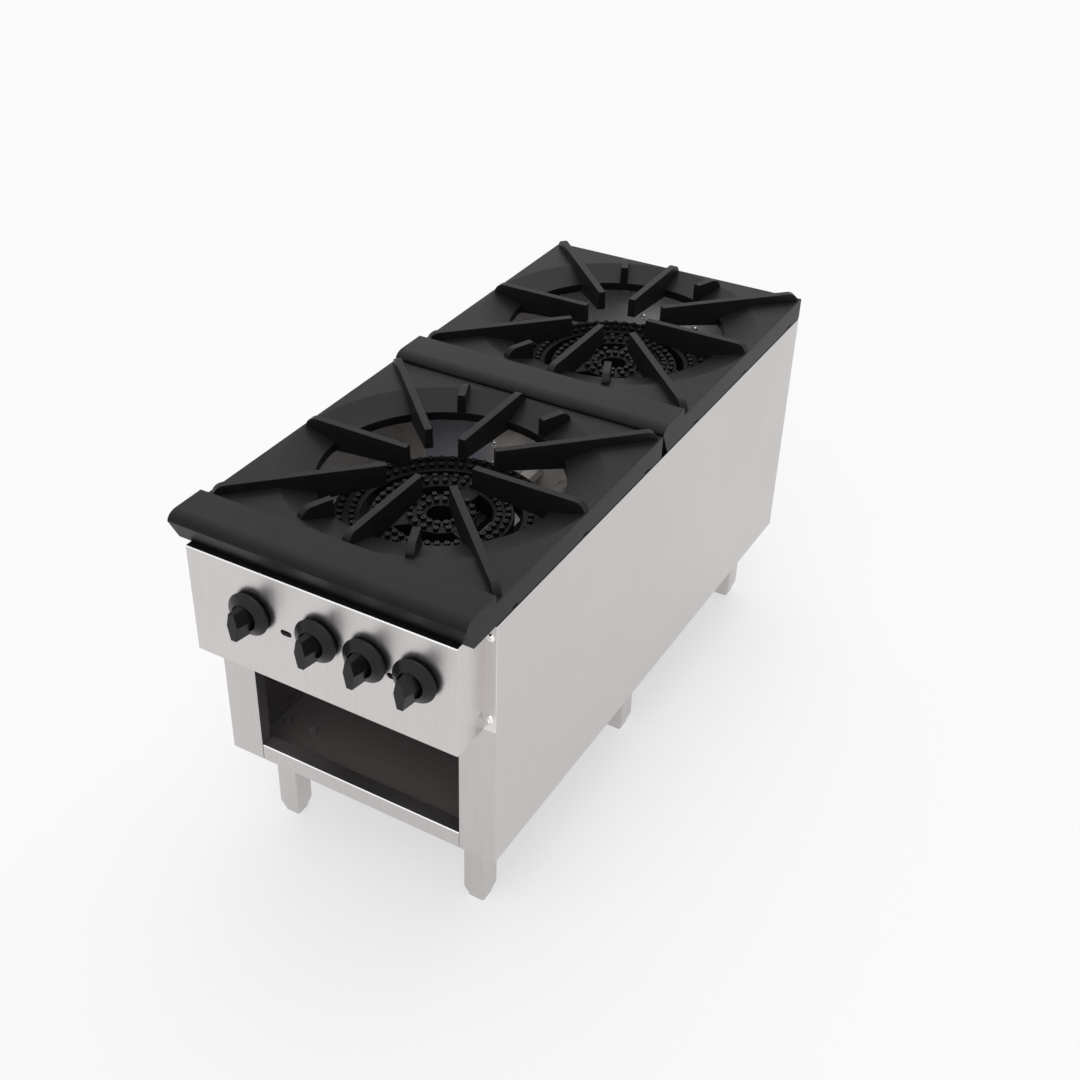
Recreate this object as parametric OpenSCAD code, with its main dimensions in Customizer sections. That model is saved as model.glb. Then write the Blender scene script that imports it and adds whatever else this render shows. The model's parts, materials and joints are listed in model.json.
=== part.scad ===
// Two-burner stock pot range: a tall folded-sheet cabinet on six legs, two cast grates one behind
// the other, and a three-ring burner under each. Front faces -Y, floor at z = 0, millimetres.

/* [Cabinet] */
// Width across the side panels
cabinet_w = 457.2; // [455:0.1:520]
// Depth from the back to the lower front
cabinet_d = 992.8; // [980:0.1:1060]
// Height of the side panels
cabinet_h = 411; // [400:0.5:460]
// Thickness of the folded sheet metal
sheet = 1.5; // [1:0.1:2]
// Width of each front stile beside the opening
stile_w = 56.6; // [50:0.1:64]
// Height of the rail under the front opening
bottom_rail_h = 28; // [20:0.5:40]
// Space between a side panel and the burner box liner
liner_space = 11.1; // [8:0.1:14]

/* [Control box] */
// Width of the screw flange at each end of the box
flange_w = 17.95; // [13:0.05:24]
// How far the box stands out from the lower front
box_d = 64.2; // [60:0.1:80]
// Height of the box
box_h = 172; // [165:0.5:190]
// Distance of the leftmost knob from the middle
first_knob_x = -106; // [-112:0.5:-100]
// Spacing of the first and second knobs
wide_pitch = 108.5; // [100:0.5:112]
// Spacing of the other knobs
close_pitch = 75.5; // [72:0.5:77]
// Depth of the knob centres below the top of the box
knob_drop = 67; // [60:0.5:70]
// Length of the slots for the pilot screws
slot_l = 18; // [14:0.5:22]
// Height of the slots for the pilot screws
slot_h = 9; // [7:0.5:11]

/* [Knobs] */
// Radius of the round skirt
skirt_r = 32.5; // [29:0.5:35]
// Reach of a knob in front of the box
knob_reach = 42; // [36:0.5:50]
// Widest part of the lever
lever_w = 17; // [13:0.5:20]
// Length of the lever below the knob centre
lever_low = 24; // [20:0.5:28]
// Length of the lever above the knob centre
lever_high = 20.5; // [16:0.5:26]

/* [Legs] */
// Height of the cabinet above the floor
leg_h = 148.8; // [130:0.1:170]
// Side of the square leg tube
leg_side = 36; // [32:0.5:42]
// Distance from a side panel to the leg centres
leg_inset_x = 59.3; // [54:0.1:64]
// Distance from the lower front to the front leg centres
leg_inset_front = 62; // [58:0.5:80]
// Distance from the back to the rear leg centres
leg_inset_back = 44; // [42:0.5:70]
// Height of an adjustable foot below its tube
foot_h = 21; // [16:0.5:26]

/* [Grates] */
// Height of the grate's side flange
flange_h = 34; // [30:0.5:40]
// Gap that the cast pads keep under the flange
pad_h = 2.5; // [2:0.1:4]
// Rise of the finger tops over the grate's rim
finger_rise = 13.3; // [11:0.1:16]
// Width of a finger
finger_w = 11; // [9:0.5:13]
// Depth of the rounded front nose
nose_d = 69; // [60:0.5:76]
// Rise of the nose over the rim
nose_rise = 12; // [8:0.5:12.5]
// How far the front nose passes the lower front
nose_overhang = 72.7; // [66:0.1:76]
// Width of the flat rim left beside the round dish
dish_margin = 1.5; // [1:0.1:12]
// Width of the sloping ring of the dish
dish_w = 51; // [44:0.5:58]
// Depth of the dish at its opening
dish_drop = 15; // [12:0.5:18]
// Thickness of the casting
cast_t = 8; // [6:0.5:9]

/* [Burners] */
// Depth of the port tops under the grate's rim
burner_drop = 73; // [70:0.5:82]
// Height of a ring casting
ring_h = 30; // [26:0.5:34]
// Outer radius of the outer ring
outer_out = 155.5; // [150:0.5:160]
// Inner radius of the outer ring
outer_in = 114.5; // [110:0.5:118]
// Outer radius of the middle ring
middle_out = 103.5; // [98:0.5:106]
// Inner radius of the middle ring
middle_in = 73; // [68:0.5:75]
// Outer radius of the inner ring
inner_out = 53; // [48:0.5:56]
// Inner radius of the inner ring
inner_in = 20.5; // [17:0.5:23]
// Height of a port nub
nub_h = 6; // [4:0.5:7]
// Spacing of the port pairs round the middle of a ring
port_pitch = 15.2; // [13:0.1:20]

/* [Gas] */
// Outer radius of the supply and manifold pipe
pipe_r = 13.35; // [12:0.05:14.5]
// Inner radius of the supply and manifold pipe
pipe_bore_r = 10.5; // [9:0.1:11]
// How far the inlet stands out behind the cabinet
inlet_reach = 18.6; // [15:0.1:30]
// Outer radius of a mixer tube
tube_r = 14; // [12:0.5:15]
// Wall of a mixer tube
tube_wall = 3; // [2:0.5:3.5]

/* [Drip tray] */
// Height of the tray
tray_h = 28; // [20:1:34]

/* [Hidden] */
$fn = 96;

// Finishes
steel = "silver";
inner_steel = "lightgray";
iron = [0.16, 0.16, 0.17];
casting = [0.22, 0.22, 0.23];
brass = [0.78, 0.62, 0.32];
plastic = [0.1, 0.1, 0.11];

// How far a cutting shape passes the faces it cuts, and the slack round a still round piece
overrun = 1;
slack = 0.3;

// Main planes, worked out from the driving sizes
half_w = cabinet_w / 2;
total_d = inlet_reach + cabinet_d + box_d + knob_reach;
y_back = total_d / 2 - inlet_reach;
y_face = y_back - cabinet_d;
y_panel = y_face - box_d;
z_base = leg_h;
z_top = leg_h + cabinet_h;
z_rim = z_top + pad_h + flange_h;
wall_x = half_w - sheet;
opening_x = half_w - stile_w;
z_rail = z_base + bottom_rail_h;

// Folded edges of the sheet pieces
fold = 25;
foot_flange = 20;
stile_return = 20;
upper_rail_h = 26;
liner_x = wall_x - liner_space;
y_shield = y_face + fold;
box_x = half_w - flange_w;
z_box = z_top - box_h;
box_lip = 14;

// Grates and the burner centres under them
grate_split = 1.5;
grate_d = (cabinet_d + nose_overhang - grate_split) / 2;
grate_pitch = grate_d + grate_split;
burner_shift = 4;
burner_back = (grate_d - nose_d) / 2 - burner_shift;
dish_r = min(half_w, burner_back) - dish_margin;
opening_r = dish_r - dish_w;
y_burner_rear = y_back - burner_back;
y_burner_front = y_burner_rear - grate_pitch;
y_split = y_back - grate_d - grate_split / 2;

// Burner levels and the rails they rest on
z_ring_top = z_rim - burner_drop - nub_h;
z_ring = z_ring_top - ring_h;
ring_wall = 4.5;
rail_h = 14;
rail_w = 18;
rail_x = 28;
rail_t = 2;
z_rails = z_ring - rail_h;

// Knobs, valves and tubes share these places
knob_x = [
  first_knob_x,
  first_knob_x + wide_pitch,
  first_knob_x + wide_pitch + close_pitch,
  first_knob_x + wide_pitch + 2 * close_pitch
];
z_knob = z_top - knob_drop;
tube_gap = 0.8;
pipe_gap = 12;
z_tube = z_rails - tube_gap - tube_r;
z_pipe = z_tube - tube_r - pipe_gap - pipe_r;
y_pipe = y_panel + box_d / 2;
supply_shift = 6.5;
supply_x = knob_x[3] - supply_shift;
valve_side = 26;
stem_r = 4;
stem_fit = 0.05;
pilot_r = 3;
pilot_gap = 4;
z_pilot = z_ring - pilot_gap - pilot_r;

// A block between two opposite corners
module block(low, high) {
  translate(low) cube(high - low);
}

module along_y(x, y, z, r, length) {
  translate([x, y, z]) rotate([-90, 0, 0]) cylinder(r = r, h = length);
}

module along_x(x, y, z, r, length) {
  translate([x, y, z]) rotate([0, 90, 0]) cylinder(r = r, h = length);
}

module upright(x, y, z, r, height) {
  translate([x, y, z]) cylinder(r = r, h = height);
}

// Cabinet
screw_r = 2;
box_screw_x = (box_x + half_w) / 2;
box_screw_edge = 20;
box_screw_z = [z_box + box_screw_edge, z_top - box_screw_edge];
wall_screw_x = 50;
wall_screw_drop = 96.5;
z_wall_screw = z_rim - wall_screw_drop;

module box_screw_holes() {
  for (side = [-1, 1], z = box_screw_z)
    along_y(side * box_screw_x, y_face - sheet - overrun, z, screw_r + slack,
      2 * sheet + 2 * overrun);
}

module wall_screw_holes(y) {
  for (side = [-1, 1])
    along_y(side * wall_screw_x, y - overrun, z_wall_screw, screw_r + slack, sheet + 2 * overrun);
}

module side_panel() {
  color(steel) difference() {
    union() {
      block([wall_x, y_face, z_base], [half_w, y_back, z_top]);
      block([opening_x, y_face, z_base], [half_w, y_face + sheet, z_top]);
      block([opening_x, y_face, z_base + sheet],
        [opening_x + sheet, y_face + stile_return, z_box]);
      block([half_w - fold, y_back - 2 * sheet, z_base + sheet], [half_w, y_back - sheet, z_top - sheet]);
      block([liner_x, y_face, z_top - sheet], [half_w, y_back - sheet, z_top]);
      block([half_w - foot_flange, y_face, z_base + sheet],
        [half_w, y_back - sheet, z_base + 2 * sheet]);
    }
    box_screw_holes();
  }
}

module supply_hole(y) {
  along_y(supply_x, y - overrun, z_pipe, pipe_r + hole_gap, sheet + 2 * overrun);
}

module back_panel() {
  color(steel) difference() {
    block([-wall_x, y_back - sheet, z_base], [wall_x, y_back, z_top]);
    along_y(supply_x, y_back - sheet - overrun, z_pipe, pipe_r + slack, sheet + 2 * overrun);
  }
}

module cabinet_floor() {
  color(inner_steel) difference() {
    block([-wall_x, y_face + sheet, z_base], [wall_x, y_back - sheet, z_base + sheet]);
    leg_bolt_places() cylinder(r = bolt_r + slack, h = 2 * plate_t, center = true);
  }
}

module front_bottom_rail() {
  color(steel) {
    block([-opening_x, y_face, z_base], [opening_x, y_face + sheet, z_rail]);
    block([-opening_x, y_face, z_rail - sheet], [opening_x, y_face + fold, z_rail]);
    block([-opening_x, y_face + fold - sheet, z_base + sheet], [opening_x, y_face + fold, z_rail]);
  }
}

module front_upper_rail() {
  z_low = z_top - upper_rail_h;
  color(steel) {
    block([-opening_x, y_face, z_low], [opening_x, y_face + sheet, z_top]);
    block([-opening_x, y_face, z_top - sheet], [opening_x, y_face + fold, z_top]);
    block([-opening_x, y_face + fold - sheet, z_low], [opening_x, y_face + fold, z_top]);
  }
}

stem_hole_r = 7;
slot_drop = 15.5;
z_slot = z_knob - slot_drop;
slot_x = [(knob_x[0] + knob_x[1]) / 2, (knob_x[2] + knob_x[3]) / 2];

module pilot_slot(x) {
  reach = (slot_l - slot_h) / 2;
  for (side = [-1, 1])
    along_y(x + side * reach, y_panel - overrun, z_slot, slot_h / 2, sheet + 2 * overrun);
  block([x - reach, y_panel - overrun, z_slot - slot_h / 2],
    [x + reach, y_panel + sheet + overrun, z_slot + slot_h / 2]);
}

module control_box() {
  color(steel) difference() {
    union() {
      block([-box_x, y_panel, z_box], [box_x, y_panel + sheet, z_top]);
      block([-box_x, y_panel, z_box], [box_x, y_face, z_box + sheet]);
      block([-box_x, y_panel, z_top - sheet], [box_x, y_panel + box_lip, z_top]);
      for (side = [-1, 1]) scale([side, 1, 1]) {
        block([box_x - sheet, y_panel, z_box], [box_x, y_face, z_top]);
        block([box_x - sheet, y_face - sheet, z_box], [half_w, y_face, z_top]);
      }
    }
    for (x = knob_x) along_y(x, y_panel - overrun, z_knob, stem_hole_r, sheet + 2 * overrun);
    for (x = slot_x) pilot_slot(x);
    box_screw_holes();
  }
}

screw_head_r = 4.5;
screw_head_h = 2.2;
screw_l = 8;

module screw(x, y, z) {
  along_y(x, y, z, screw_r, screw_l);
  along_y(x, y - screw_head_h, z, screw_head_r, screw_head_h);
}

module shell_screws() {
  color(steel) for (side = [-1, 1]) {
    for (z = box_screw_z) screw(side * box_screw_x, y_face - sheet, z);
    for (y = [y_split, y_rear_liner]) screw(side * wall_screw_x, y, z_wall_screw);
  }
}

// The burner box: shield in front, partition between the burners, liners round them
hole_gap = 2;
shield_low = z_box;
liner_low = z_box;
partition_low = z_pipe + pipe_r + hole_gap;
strap_w = 42;
ledge = 12;
y_rear_liner = y_back - ledge + sheet;

module tube_holes(list, y) {
  for (i = list) along_y(tube_x_at(i, y), y - overrun, z_tube, tube_r + hole_gap,
    sheet + 2 * overrun);
}

module heat_shield() {
  color(inner_steel) difference() {
    block([-liner_x, y_shield, shield_low], [liner_x, y_shield + sheet, z_top - sheet]);
    tube_holes([0, 1, 2, 3], y_shield);
    supply_hole(y_shield);
    for (x = slot_x)
      along_y(x, y_shield - overrun, z_pilot, pilot_r + hole_gap, sheet + 2 * overrun);
  }
}

module bay_partition() {
  notch = tube_r + hole_gap;
  color(inner_steel) difference() {
    union() {
      block([-liner_x, y_split, partition_low], [liner_x, y_split + sheet, z_top]);
      block([-liner_x, y_split - ledge, z_top - sheet], [liner_x, y_split + ledge, z_top]);
    }
    tube_holes([2, 3], y_split);
    for (i = [2, 3])
      block([tube_x_at(i, y_split) - notch, y_split - overrun, partition_low - overrun],
        [tube_x_at(i, y_split) + notch, y_split + sheet + overrun, z_tube]);
    for (side = [-1, 1])
      block([side * rail_x - rail_w / 2 - slack, y_split - overrun, z_rails - slack],
        [side * rail_x + rail_w / 2 + slack, y_split + sheet + overrun, z_ring + slack]);
    along_y(slot_x[1], y_split - overrun, z_pilot, pilot_r + slack, sheet + 2 * overrun);
    wall_screw_holes(y_split);
  }
}

module rear_liner() {
  color(inner_steel) difference() {
    union() {
      block([-liner_x, y_rear_liner, liner_low], [liner_x, y_rear_liner + sheet, z_top]);
      block([-liner_x, y_rear_liner, z_top - sheet], [liner_x, y_back - sheet, z_top]);
    }
    supply_hole(y_rear_liner);
    wall_screw_holes(y_rear_liner);
  }
}

module liner() {
  color(inner_steel) {
    block([liner_x, y_shield, liner_low], [liner_x + sheet, y_back - 2 * sheet, z_top - sheet]);
    block([liner_x, y_shield, liner_low], [wall_x, y_back - 2 * sheet, liner_low + sheet]);
    block([liner_x - strap_w, y_split - sheet, liner_low],
      [liner_x + sheet, y_split, z_top - sheet]);
  }
}

module burner_rail() {
  y_low = y_shield + sheet;
  y_high = y_rear_liner;
  color(inner_steel) {
    block([rail_x - rail_w / 2, y_low, z_ring - rail_t], [rail_x + rail_w / 2, y_high, z_ring]);
    for (x = [rail_x - rail_w / 2, rail_x + rail_w / 2 - rail_t])
      block([x, y_low, z_rails], [x + rail_t, y_high, z_ring]);
  }
}

// Drip tray and its runners, under the gas train
runner_t = 2;
runner_leg = 14;
tray_side_gap = 2;
tray_top_gap = 3;
z_runner = z_box - tray_top_gap - tray_h - runner_t;
tray_x = opening_x - runner_t - tray_side_gap;
tray_front = y_face + stile_return / 2;
tray_back = y_back - 2 * fold;
tray_lip = 12;

module tray_runner() {
  y_low = y_face + sheet;
  y_high = y_back - sheet;
  color(inner_steel) {
    block([opening_x - runner_t, y_low, z_runner], [opening_x, y_high, z_runner + tray_h]);
    block([opening_x - runner_leg, y_low, z_runner], [opening_x, y_high, z_runner + runner_t]);
  }
}

module drip_tray() {
  z_low = z_runner + runner_t;
  color(steel) difference() {
    union() {
      block([-tray_x, tray_front, z_low], [tray_x, tray_back, z_low + tray_h]);
      block([-tray_x, tray_front - tray_lip, z_low + tray_h - sheet],
        [tray_x, tray_front, z_low + tray_h]);
      block([-tray_x, tray_front - tray_lip, z_low + tray_h - tray_lip],
        [tray_x, tray_front - tray_lip + sheet, z_low + tray_h]);
    }
    block([-tray_x + sheet, tray_front + sheet, z_low + sheet],
      [tray_x - sheet, tray_back - sheet, z_low + tray_h + overrun]);
  }
}

// One cast grate, drawn with its burner centre at the origin and its rim at z = 0
rim_wall_h = 13;
tip_corner = 77;
tip_side = 54;
tip_h = 31;
corner_reach = 9;
end_reach = 0.4;
short_angle = 22.5;
short_drop = 4.7;

module finger(inner, outer, tip_depth, root_depth) {
  end_r = finger_rise + cast_t / 2;
  root = opening_r + cast_t / 2;
  rotate([90, 0, 0]) translate([0, 0, -finger_w / 2]) linear_extrude(finger_w) {
    polygon([
      [inner, finger_rise], [outer - end_r, finger_rise], [outer - end_r, -cast_t / 2],
      [root, -root_depth], [opening_r + sheet, -root_depth], [inner, finger_rise - tip_depth]
    ]);
    intersection() {
      translate([outer - end_r, finger_rise - end_r]) circle(r = end_r);
      translate([outer - end_r - sheet, finger_rise - end_r]) square([end_r + 2 * sheet, end_r + sheet]);
    }
  }
}

function side_end(a) = (a % 180 == 0) ? half_w - dish_margin : burner_back - end_reach;

module grate_fingers() {
  corner = min(half_w, burner_back + dish_margin) * sqrt(2) - corner_reach;
  wall_low = dish_drop + rim_wall_h;
  for (a = [0 : 90 : 270]) {
    rotate(a) finger(tip_side, side_end(a), tip_h, wall_low);
    rotate(a + 45) finger(tip_corner, corner, tip_h, wall_low);
  }
  for (a = [90 - short_angle, 90 + short_angle, 270 - short_angle, 270 + short_angle])
    rotate(a) finger(opening_r + sheet / 2, dish_r, finger_rise + dish_drop + short_drop, dish_drop + short_drop);
}

// Side view of the nose, from its rear step to its rounded front
nose_round = 23;
chin_share = 0.74;
nose_wall = 8;

module nose_profile() {
  flat = nose_d - nose_round;
  chin = nose_d * chin_share;
  translate([0, -flange_h]) square([flat, flange_h + nose_rise]);
  translate([flat, nose_rise - nose_round]) circle(r = nose_round);
  polygon([
    [0, nose_rise - nose_round], [nose_d, nose_rise - nose_round], [chin, -flange_h], [0, -flange_h]
  ]);
}

module grate() {
  plate_front = burner_back - (grate_d - nose_d);
  wall_in = half_w - cast_t;
  hollow_d = nose_d * chin_share - nose_wall;
  color(iron) {
    difference() {
      union() {
        block([-half_w, plate_front, -flange_h], [half_w, burner_back, 0]);
        translate([-half_w, plate_front, 0]) rotate([90, 0, 90])
          linear_extrude(cabinet_w) mirror([1, 0]) nose_profile();
      }
      block([-wall_in, plate_front, -flange_h - overrun],
        [wall_in, burner_back - cast_t, -cast_t]);
      block([-wall_in, plate_front - hollow_d, -flange_h - overrun],
        [wall_in, plate_front + overrun, nose_rise - cast_t]);
      upright(0, 0, -cast_t - overrun, dish_r, cast_t + 2 * overrun);
    }
    intersection() {
      rotate_extrude() polygon([
        [opening_r, -dish_drop], [dish_r, 0], [dish_r + cast_t, 0], [dish_r + cast_t, -cast_t],
        [opening_r + cast_t, -dish_drop - cast_t], [opening_r + cast_t, -dish_drop - rim_wall_h],
        [opening_r, -dish_drop - rim_wall_h]
      ]);
      block([-half_w, plate_front, -flange_h], [half_w, burner_back, overrun]);
    }
    grate_fingers();
    for (side = [-1, 1], share = pad_shares)
      translate([side * (half_w - cast_t / 2), plate_front + share * (grate_d - nose_d), -flange_h])
        block([-cast_t / 2, -cast_t, -pad_h], [cast_t / 2, cast_t, cast_t]);
  }
}

pad_shares = [0.1, 0.5, 0.9];

// Burner castings, drawn with the port ring tops at z = 0
module ring_shell(r_in, r_out) {
  difference() {
    translate([0, 0, -ring_h]) cylinder(r = r_out, h = ring_h);
    translate([0, 0, -ring_h - overrun]) cylinder(r = r_in, h = ring_h + 2 * overrun);
  }
}

module ring_chamber(r_in, r_out) {
  rotate_extrude() translate([r_in + ring_wall, -ring_h + ring_wall])
    square([r_out - r_in - 2 * ring_wall, ring_h - 2 * ring_wall]);
}

module nub_rows(r_in, r_out) {
  count = floor(PI * (r_in + r_out) / port_pitch);
  for (share = row_shares, i = [0 : count - 1]) rotate(i * 360 / count)
    translate([r_in + (r_out - r_in) * share, 0, -overrun])
      cylinder(r = nub_r, h = nub_h + overrun, $fn = 24);
}

row_shares = [0.29, 0.72];
nub_r = 4;
arm_w = 18;
arm_drop = 8;

module inlet_hole(feed) {
  translate([feed[0], feed[1], -ring_h - overrun])
    cylinder(r = riser_bore_r, h = ring_h / 2 + overrun);
}

module outer_ring(feed) {
  color(casting) {
    difference() {
      ring_shell(outer_in, outer_out);
      ring_chamber(outer_in, outer_out);
      inlet_hole(feed);
    }
    nub_rows(outer_in, outer_out);
  }
}

module centre_rings(feed) {
  color(casting) {
    difference() {
      union() {
        ring_shell(middle_in, middle_out);
        ring_shell(inner_in, inner_out);
        for (a = [45 : 90 : 315]) rotate(a)
          block([inner_out - ring_wall / 2, -arm_w / 2, -ring_h],
            [middle_in + ring_wall / 2, arm_w / 2, -arm_drop]);
      }
      ring_chamber(middle_in, middle_out);
      ring_chamber(inner_in, inner_out);
      for (a = [45, 225]) rotate(a)
        along_x(inner_out - 2 * ring_wall, 0, -ring_h / 2 - arm_drop / 2, ring_wall,
          middle_in - inner_out + 4 * ring_wall);
      inlet_hole(feed);
    }
    nub_rows(middle_in, middle_out);
    nub_rows(inner_in, inner_out);
  }
}

// Where each mixer tube meets its casting, from that burner's centre
riser_bore_r = 8;
riser_r = riser_bore_r + tube_wall;
outer_mid = (outer_in + outer_out) / 2;
middle_mid = (middle_in + middle_out) / 2;
rear_outer_x = outer_mid - riser_r;
feeds = [
  [knob_x[0], -sqrt(pow(outer_mid, 2) - pow(knob_x[0], 2))],
  [knob_x[1], -sqrt(pow(middle_mid, 2) - pow(knob_x[1], 2))],
  [knob_x[2], -sqrt(pow(middle_mid, 2) - pow(knob_x[2], 2))],
  [rear_outer_x, -sqrt(pow(outer_mid, 2) - pow(rear_outer_x, 2))]
];
burner_y = [y_burner_front, y_burner_front, y_burner_rear, y_burner_rear];
bell_l = 24;
bell_r = 17.5;
mouth_t = 2;
y_mouth = y_shield - bell_l;
y_tube = y_shield - bell_l / 2;

function feed_y(i) = burner_y[i] + feeds[i][1];
function tube_x_at(i, y) =
  knob_x[i] + (feeds[i][0] - knob_x[i]) * (y - y_tube) / (feed_y(i) - y_tube);

air_hole_r = 4.2;
air_hole_place = 10;
hood_r = 5;
hood_gap = 0.5;
elbow_t = 1;

module air_holes(t, centre_r) {
  for (a = [30, 150, 270]) rotate(a)
    translate([air_hole_place, 0, -overrun]) cylinder(r = air_hole_r, h = t + 2 * overrun);
  translate([0, 0, -overrun]) cylinder(r = centre_r, h = t + 2 * overrun);
}

// Along a bell from its mouth, and along a tube from inside its bell
module from_mouth(i) {
  translate([knob_x[i], y_mouth, z_tube]) rotate([-90, 0, 0]) children();
}

module from_bell(i) {
  turn = atan2(knob_x[i] - feeds[i][0], feed_y(i) - y_tube);
  translate([knob_x[i], y_tube, z_tube]) rotate([0, 0, turn]) rotate([-90, 0, 0]) children();
}

module mixer(i) {
  dx = feeds[i][0] - knob_x[i];
  dy = feed_y(i) - y_tube;
  run = sqrt(dx * dx + dy * dy);
  flare = bell_l - mouth_t;
  color(casting) difference() {
    union() {
      from_mouth(i) {
        cylinder(r = bell_r, h = mouth_t);
        translate([0, 0, mouth_t]) cylinder(r1 = bell_r, r2 = tube_r, h = flare);
      }
      from_bell(i) cylinder(r = tube_r, h = run);
      translate([feeds[i][0], feed_y(i), z_tube]) sphere(r = tube_r + elbow_t);
      upright(feeds[i][0], feed_y(i), z_tube, riser_r, z_ring - z_tube);
    }
    from_mouth(i) {
      translate([0, 0, mouth_t])
        cylinder(r1 = bell_r - tube_wall, r2 = tube_r - tube_wall, h = flare);
      air_holes(mouth_t, hood_r + hood_gap);
    }
    from_bell(i) cylinder(r = tube_r - tube_wall, h = run);
    upright(feeds[i][0], feed_y(i), z_tube, riser_bore_r, z_ring - z_tube + overrun);
  }
}

shutter_t = 1.5;
shutter_gap = 0.3;
shutter_fit = 0.1;

module air_shutter(i) {
  y_low = y_mouth - shutter_gap - shutter_t;
  tab_w = 6;
  tab_h = 5;
  color(steel) difference() {
    union() {
      along_y(knob_x[i], y_low, z_tube, bell_r, shutter_t);
      block([knob_x[i] - tab_w / 2, y_low, z_tube],
        [knob_x[i] + tab_w / 2, y_low + shutter_t, z_tube + bell_r + tab_h]);
    }
    translate([knob_x[i], y_low, z_tube]) rotate([-90, 0, 0])
      air_holes(shutter_t, hood_r + shutter_fit);
  }
}

// Gas train
hood_reach = 1;
y_hood = y_mouth + mouth_t + hood_reach;
y_valve_back = y_pipe + valve_side / 2;
z_valve_low = z_tube - hood_r - hole_gap;
z_valve_high = z_knob + 2 * stem_r;
manifold_end = 22;
manifold_low = first_knob_x - manifold_end;
stem_stop = 10;
stem_end_gap = 1;
inlet_r = 6;
passage_r = 2.5;

module gas_valve(i) {
  x = knob_x[i];
  color(brass) difference() {
    union() {
      block([x - valve_side / 2, y_pipe - valve_side / 2, z_valve_low],
        [x + valve_side / 2, y_valve_back, z_valve_high]);
      upright(x, y_pipe, z_pipe + pipe_bore_r, inlet_r, z_valve_low - z_pipe);
    }
    along_y(x, y_pipe - valve_side / 2 - overrun, z_knob, stem_r + stem_fit, stem_stop + overrun);
    along_y(x, y_pipe, z_tube, passage_r, valve_side);
    upright(x, y_pipe, z_pipe, passage_r, z_tube - z_pipe);
  }
}

orifice_r = 0.8;

module orifice_hoods() {
  color(brass) for (x = knob_x) difference() {
    along_y(x, y_valve_back, z_tube, hood_r, y_hood - y_valve_back);
    along_y(x, y_valve_back - overrun, z_tube, passage_r, y_hood - y_valve_back);
    along_y(x, y_valve_back, z_tube, orifice_r, y_hood - y_valve_back + overrun);
  }
}

stem_in_knob = 21;

module valve_stem(i) {
  y_low = y_panel - stem_in_knob;
  y_high = y_pipe - valve_side / 2 + stem_stop - stem_end_gap;
  color(brass) along_y(knob_x[i], y_low, z_knob, stem_r, y_high - y_low);
}

// A knob: a stepped skirt, a cone sunk like a crater, and the lever standing across it
skirt_gap = 1.5;
skirt_t = 8.5;
skirt_step = 2.5;
skirt_step_share = 0.35;
cone_step = 1;
cone_t = 9;
crater_r = 17.5;
crater_rim = 2;
crater_floor = 1.5;
lever_top_share = 0.26;
lever_low_share = 0.25;

module lever_outline() {
  polygon([
    [-lever_w * lever_top_share, lever_high], [lever_w * lever_top_share, lever_high],
    [lever_w / 2, 0], [lever_w * lever_low_share, -lever_low],
    [-lever_w * lever_low_share, -lever_low], [-lever_w / 2, 0]
  ]);
}

module knob(i) {
  step_h = skirt_t * skirt_step_share;
  translate([knob_x[i], y_panel, z_knob]) color(plastic) rotate([90, 0, 0]) difference() {
    translate([0, 0, skirt_gap]) {
      cylinder(r = skirt_r - skirt_step, h = step_h);
      translate([0, 0, step_h]) cylinder(r = skirt_r, h = skirt_t - step_h);
      translate([0, 0, skirt_t]) difference() {
        cylinder(r1 = skirt_r - cone_step, r2 = crater_r + crater_rim, h = cone_t);
        translate([0, 0, crater_floor]) cylinder(r = crater_r, h = cone_t);
      }
      linear_extrude(knob_reach - skirt_gap) lever_outline();
    }
    cylinder(r = stem_r + stem_fit, h = stem_in_knob);
  }
}

// The manifold ends in an elbow whose socket takes the supply pipe
socket_t = 3;
socket_l = 28;
socket_stop = 14;

module gas_manifold() {
  cap_t = 2;
  cap_l = 24;
  elbow_r = pipe_r + socket_t + elbow_t;
  bend = pipe_bore_r / 2;
  color(casting) difference() {
    union() {
      along_x(manifold_low, y_pipe, z_pipe, pipe_r, supply_x - manifold_low);
      along_x(manifold_low - cap_t, y_pipe, z_pipe, pipe_r + cap_t, cap_l);
      block([supply_x - elbow_r, y_pipe - elbow_r, z_pipe - elbow_r],
        [supply_x + elbow_r, y_pipe + elbow_r, z_pipe + elbow_r]);
      along_y(supply_x, y_pipe, z_pipe, pipe_r + socket_t, socket_l);
    }
    along_x(manifold_low + cap_t, y_pipe, z_pipe, pipe_bore_r,
      supply_x + bend - manifold_low - cap_t);
    for (x = knob_x) upright(x, y_pipe, z_pipe, inlet_r + slack, 2 * pipe_r);
    for (x = slot_x) upright(x, y_pipe, z_pipe, pilot_r + slack, 2 * pipe_r);
    along_y(supply_x, y_pipe - bend, z_pipe, pipe_bore_r - elbow_t, socket_l);
    along_y(supply_x, y_pipe + socket_stop, z_pipe, pipe_r + slack, socket_l);
  }
}

module gas_supply_pipe() {
  y_low = y_pipe + socket_stop;
  lock_r = 20;
  lock_t = 6;
  pipe_l = y_back + inlet_reach - y_low;
  color(casting) difference() {
    union() {
      along_y(supply_x, y_low, z_pipe, pipe_r, pipe_l);
      translate([supply_x, y_back, z_pipe]) rotate([-90, 0, 0])
        cylinder(r = lock_r, h = lock_t, $fn = 6);
    }
    along_y(supply_x, y_low - overrun, z_pipe, pipe_bore_r, pipe_l + 2 * overrun);
  }
}

// Pilot valves with their adjusting screws behind the slots in the box
pilot_body = 12;
pilot_head_gap = 12;
pilot_head_r = 6;
pilot_screw_r = 3;
pilot_screw_l = 12;

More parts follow.
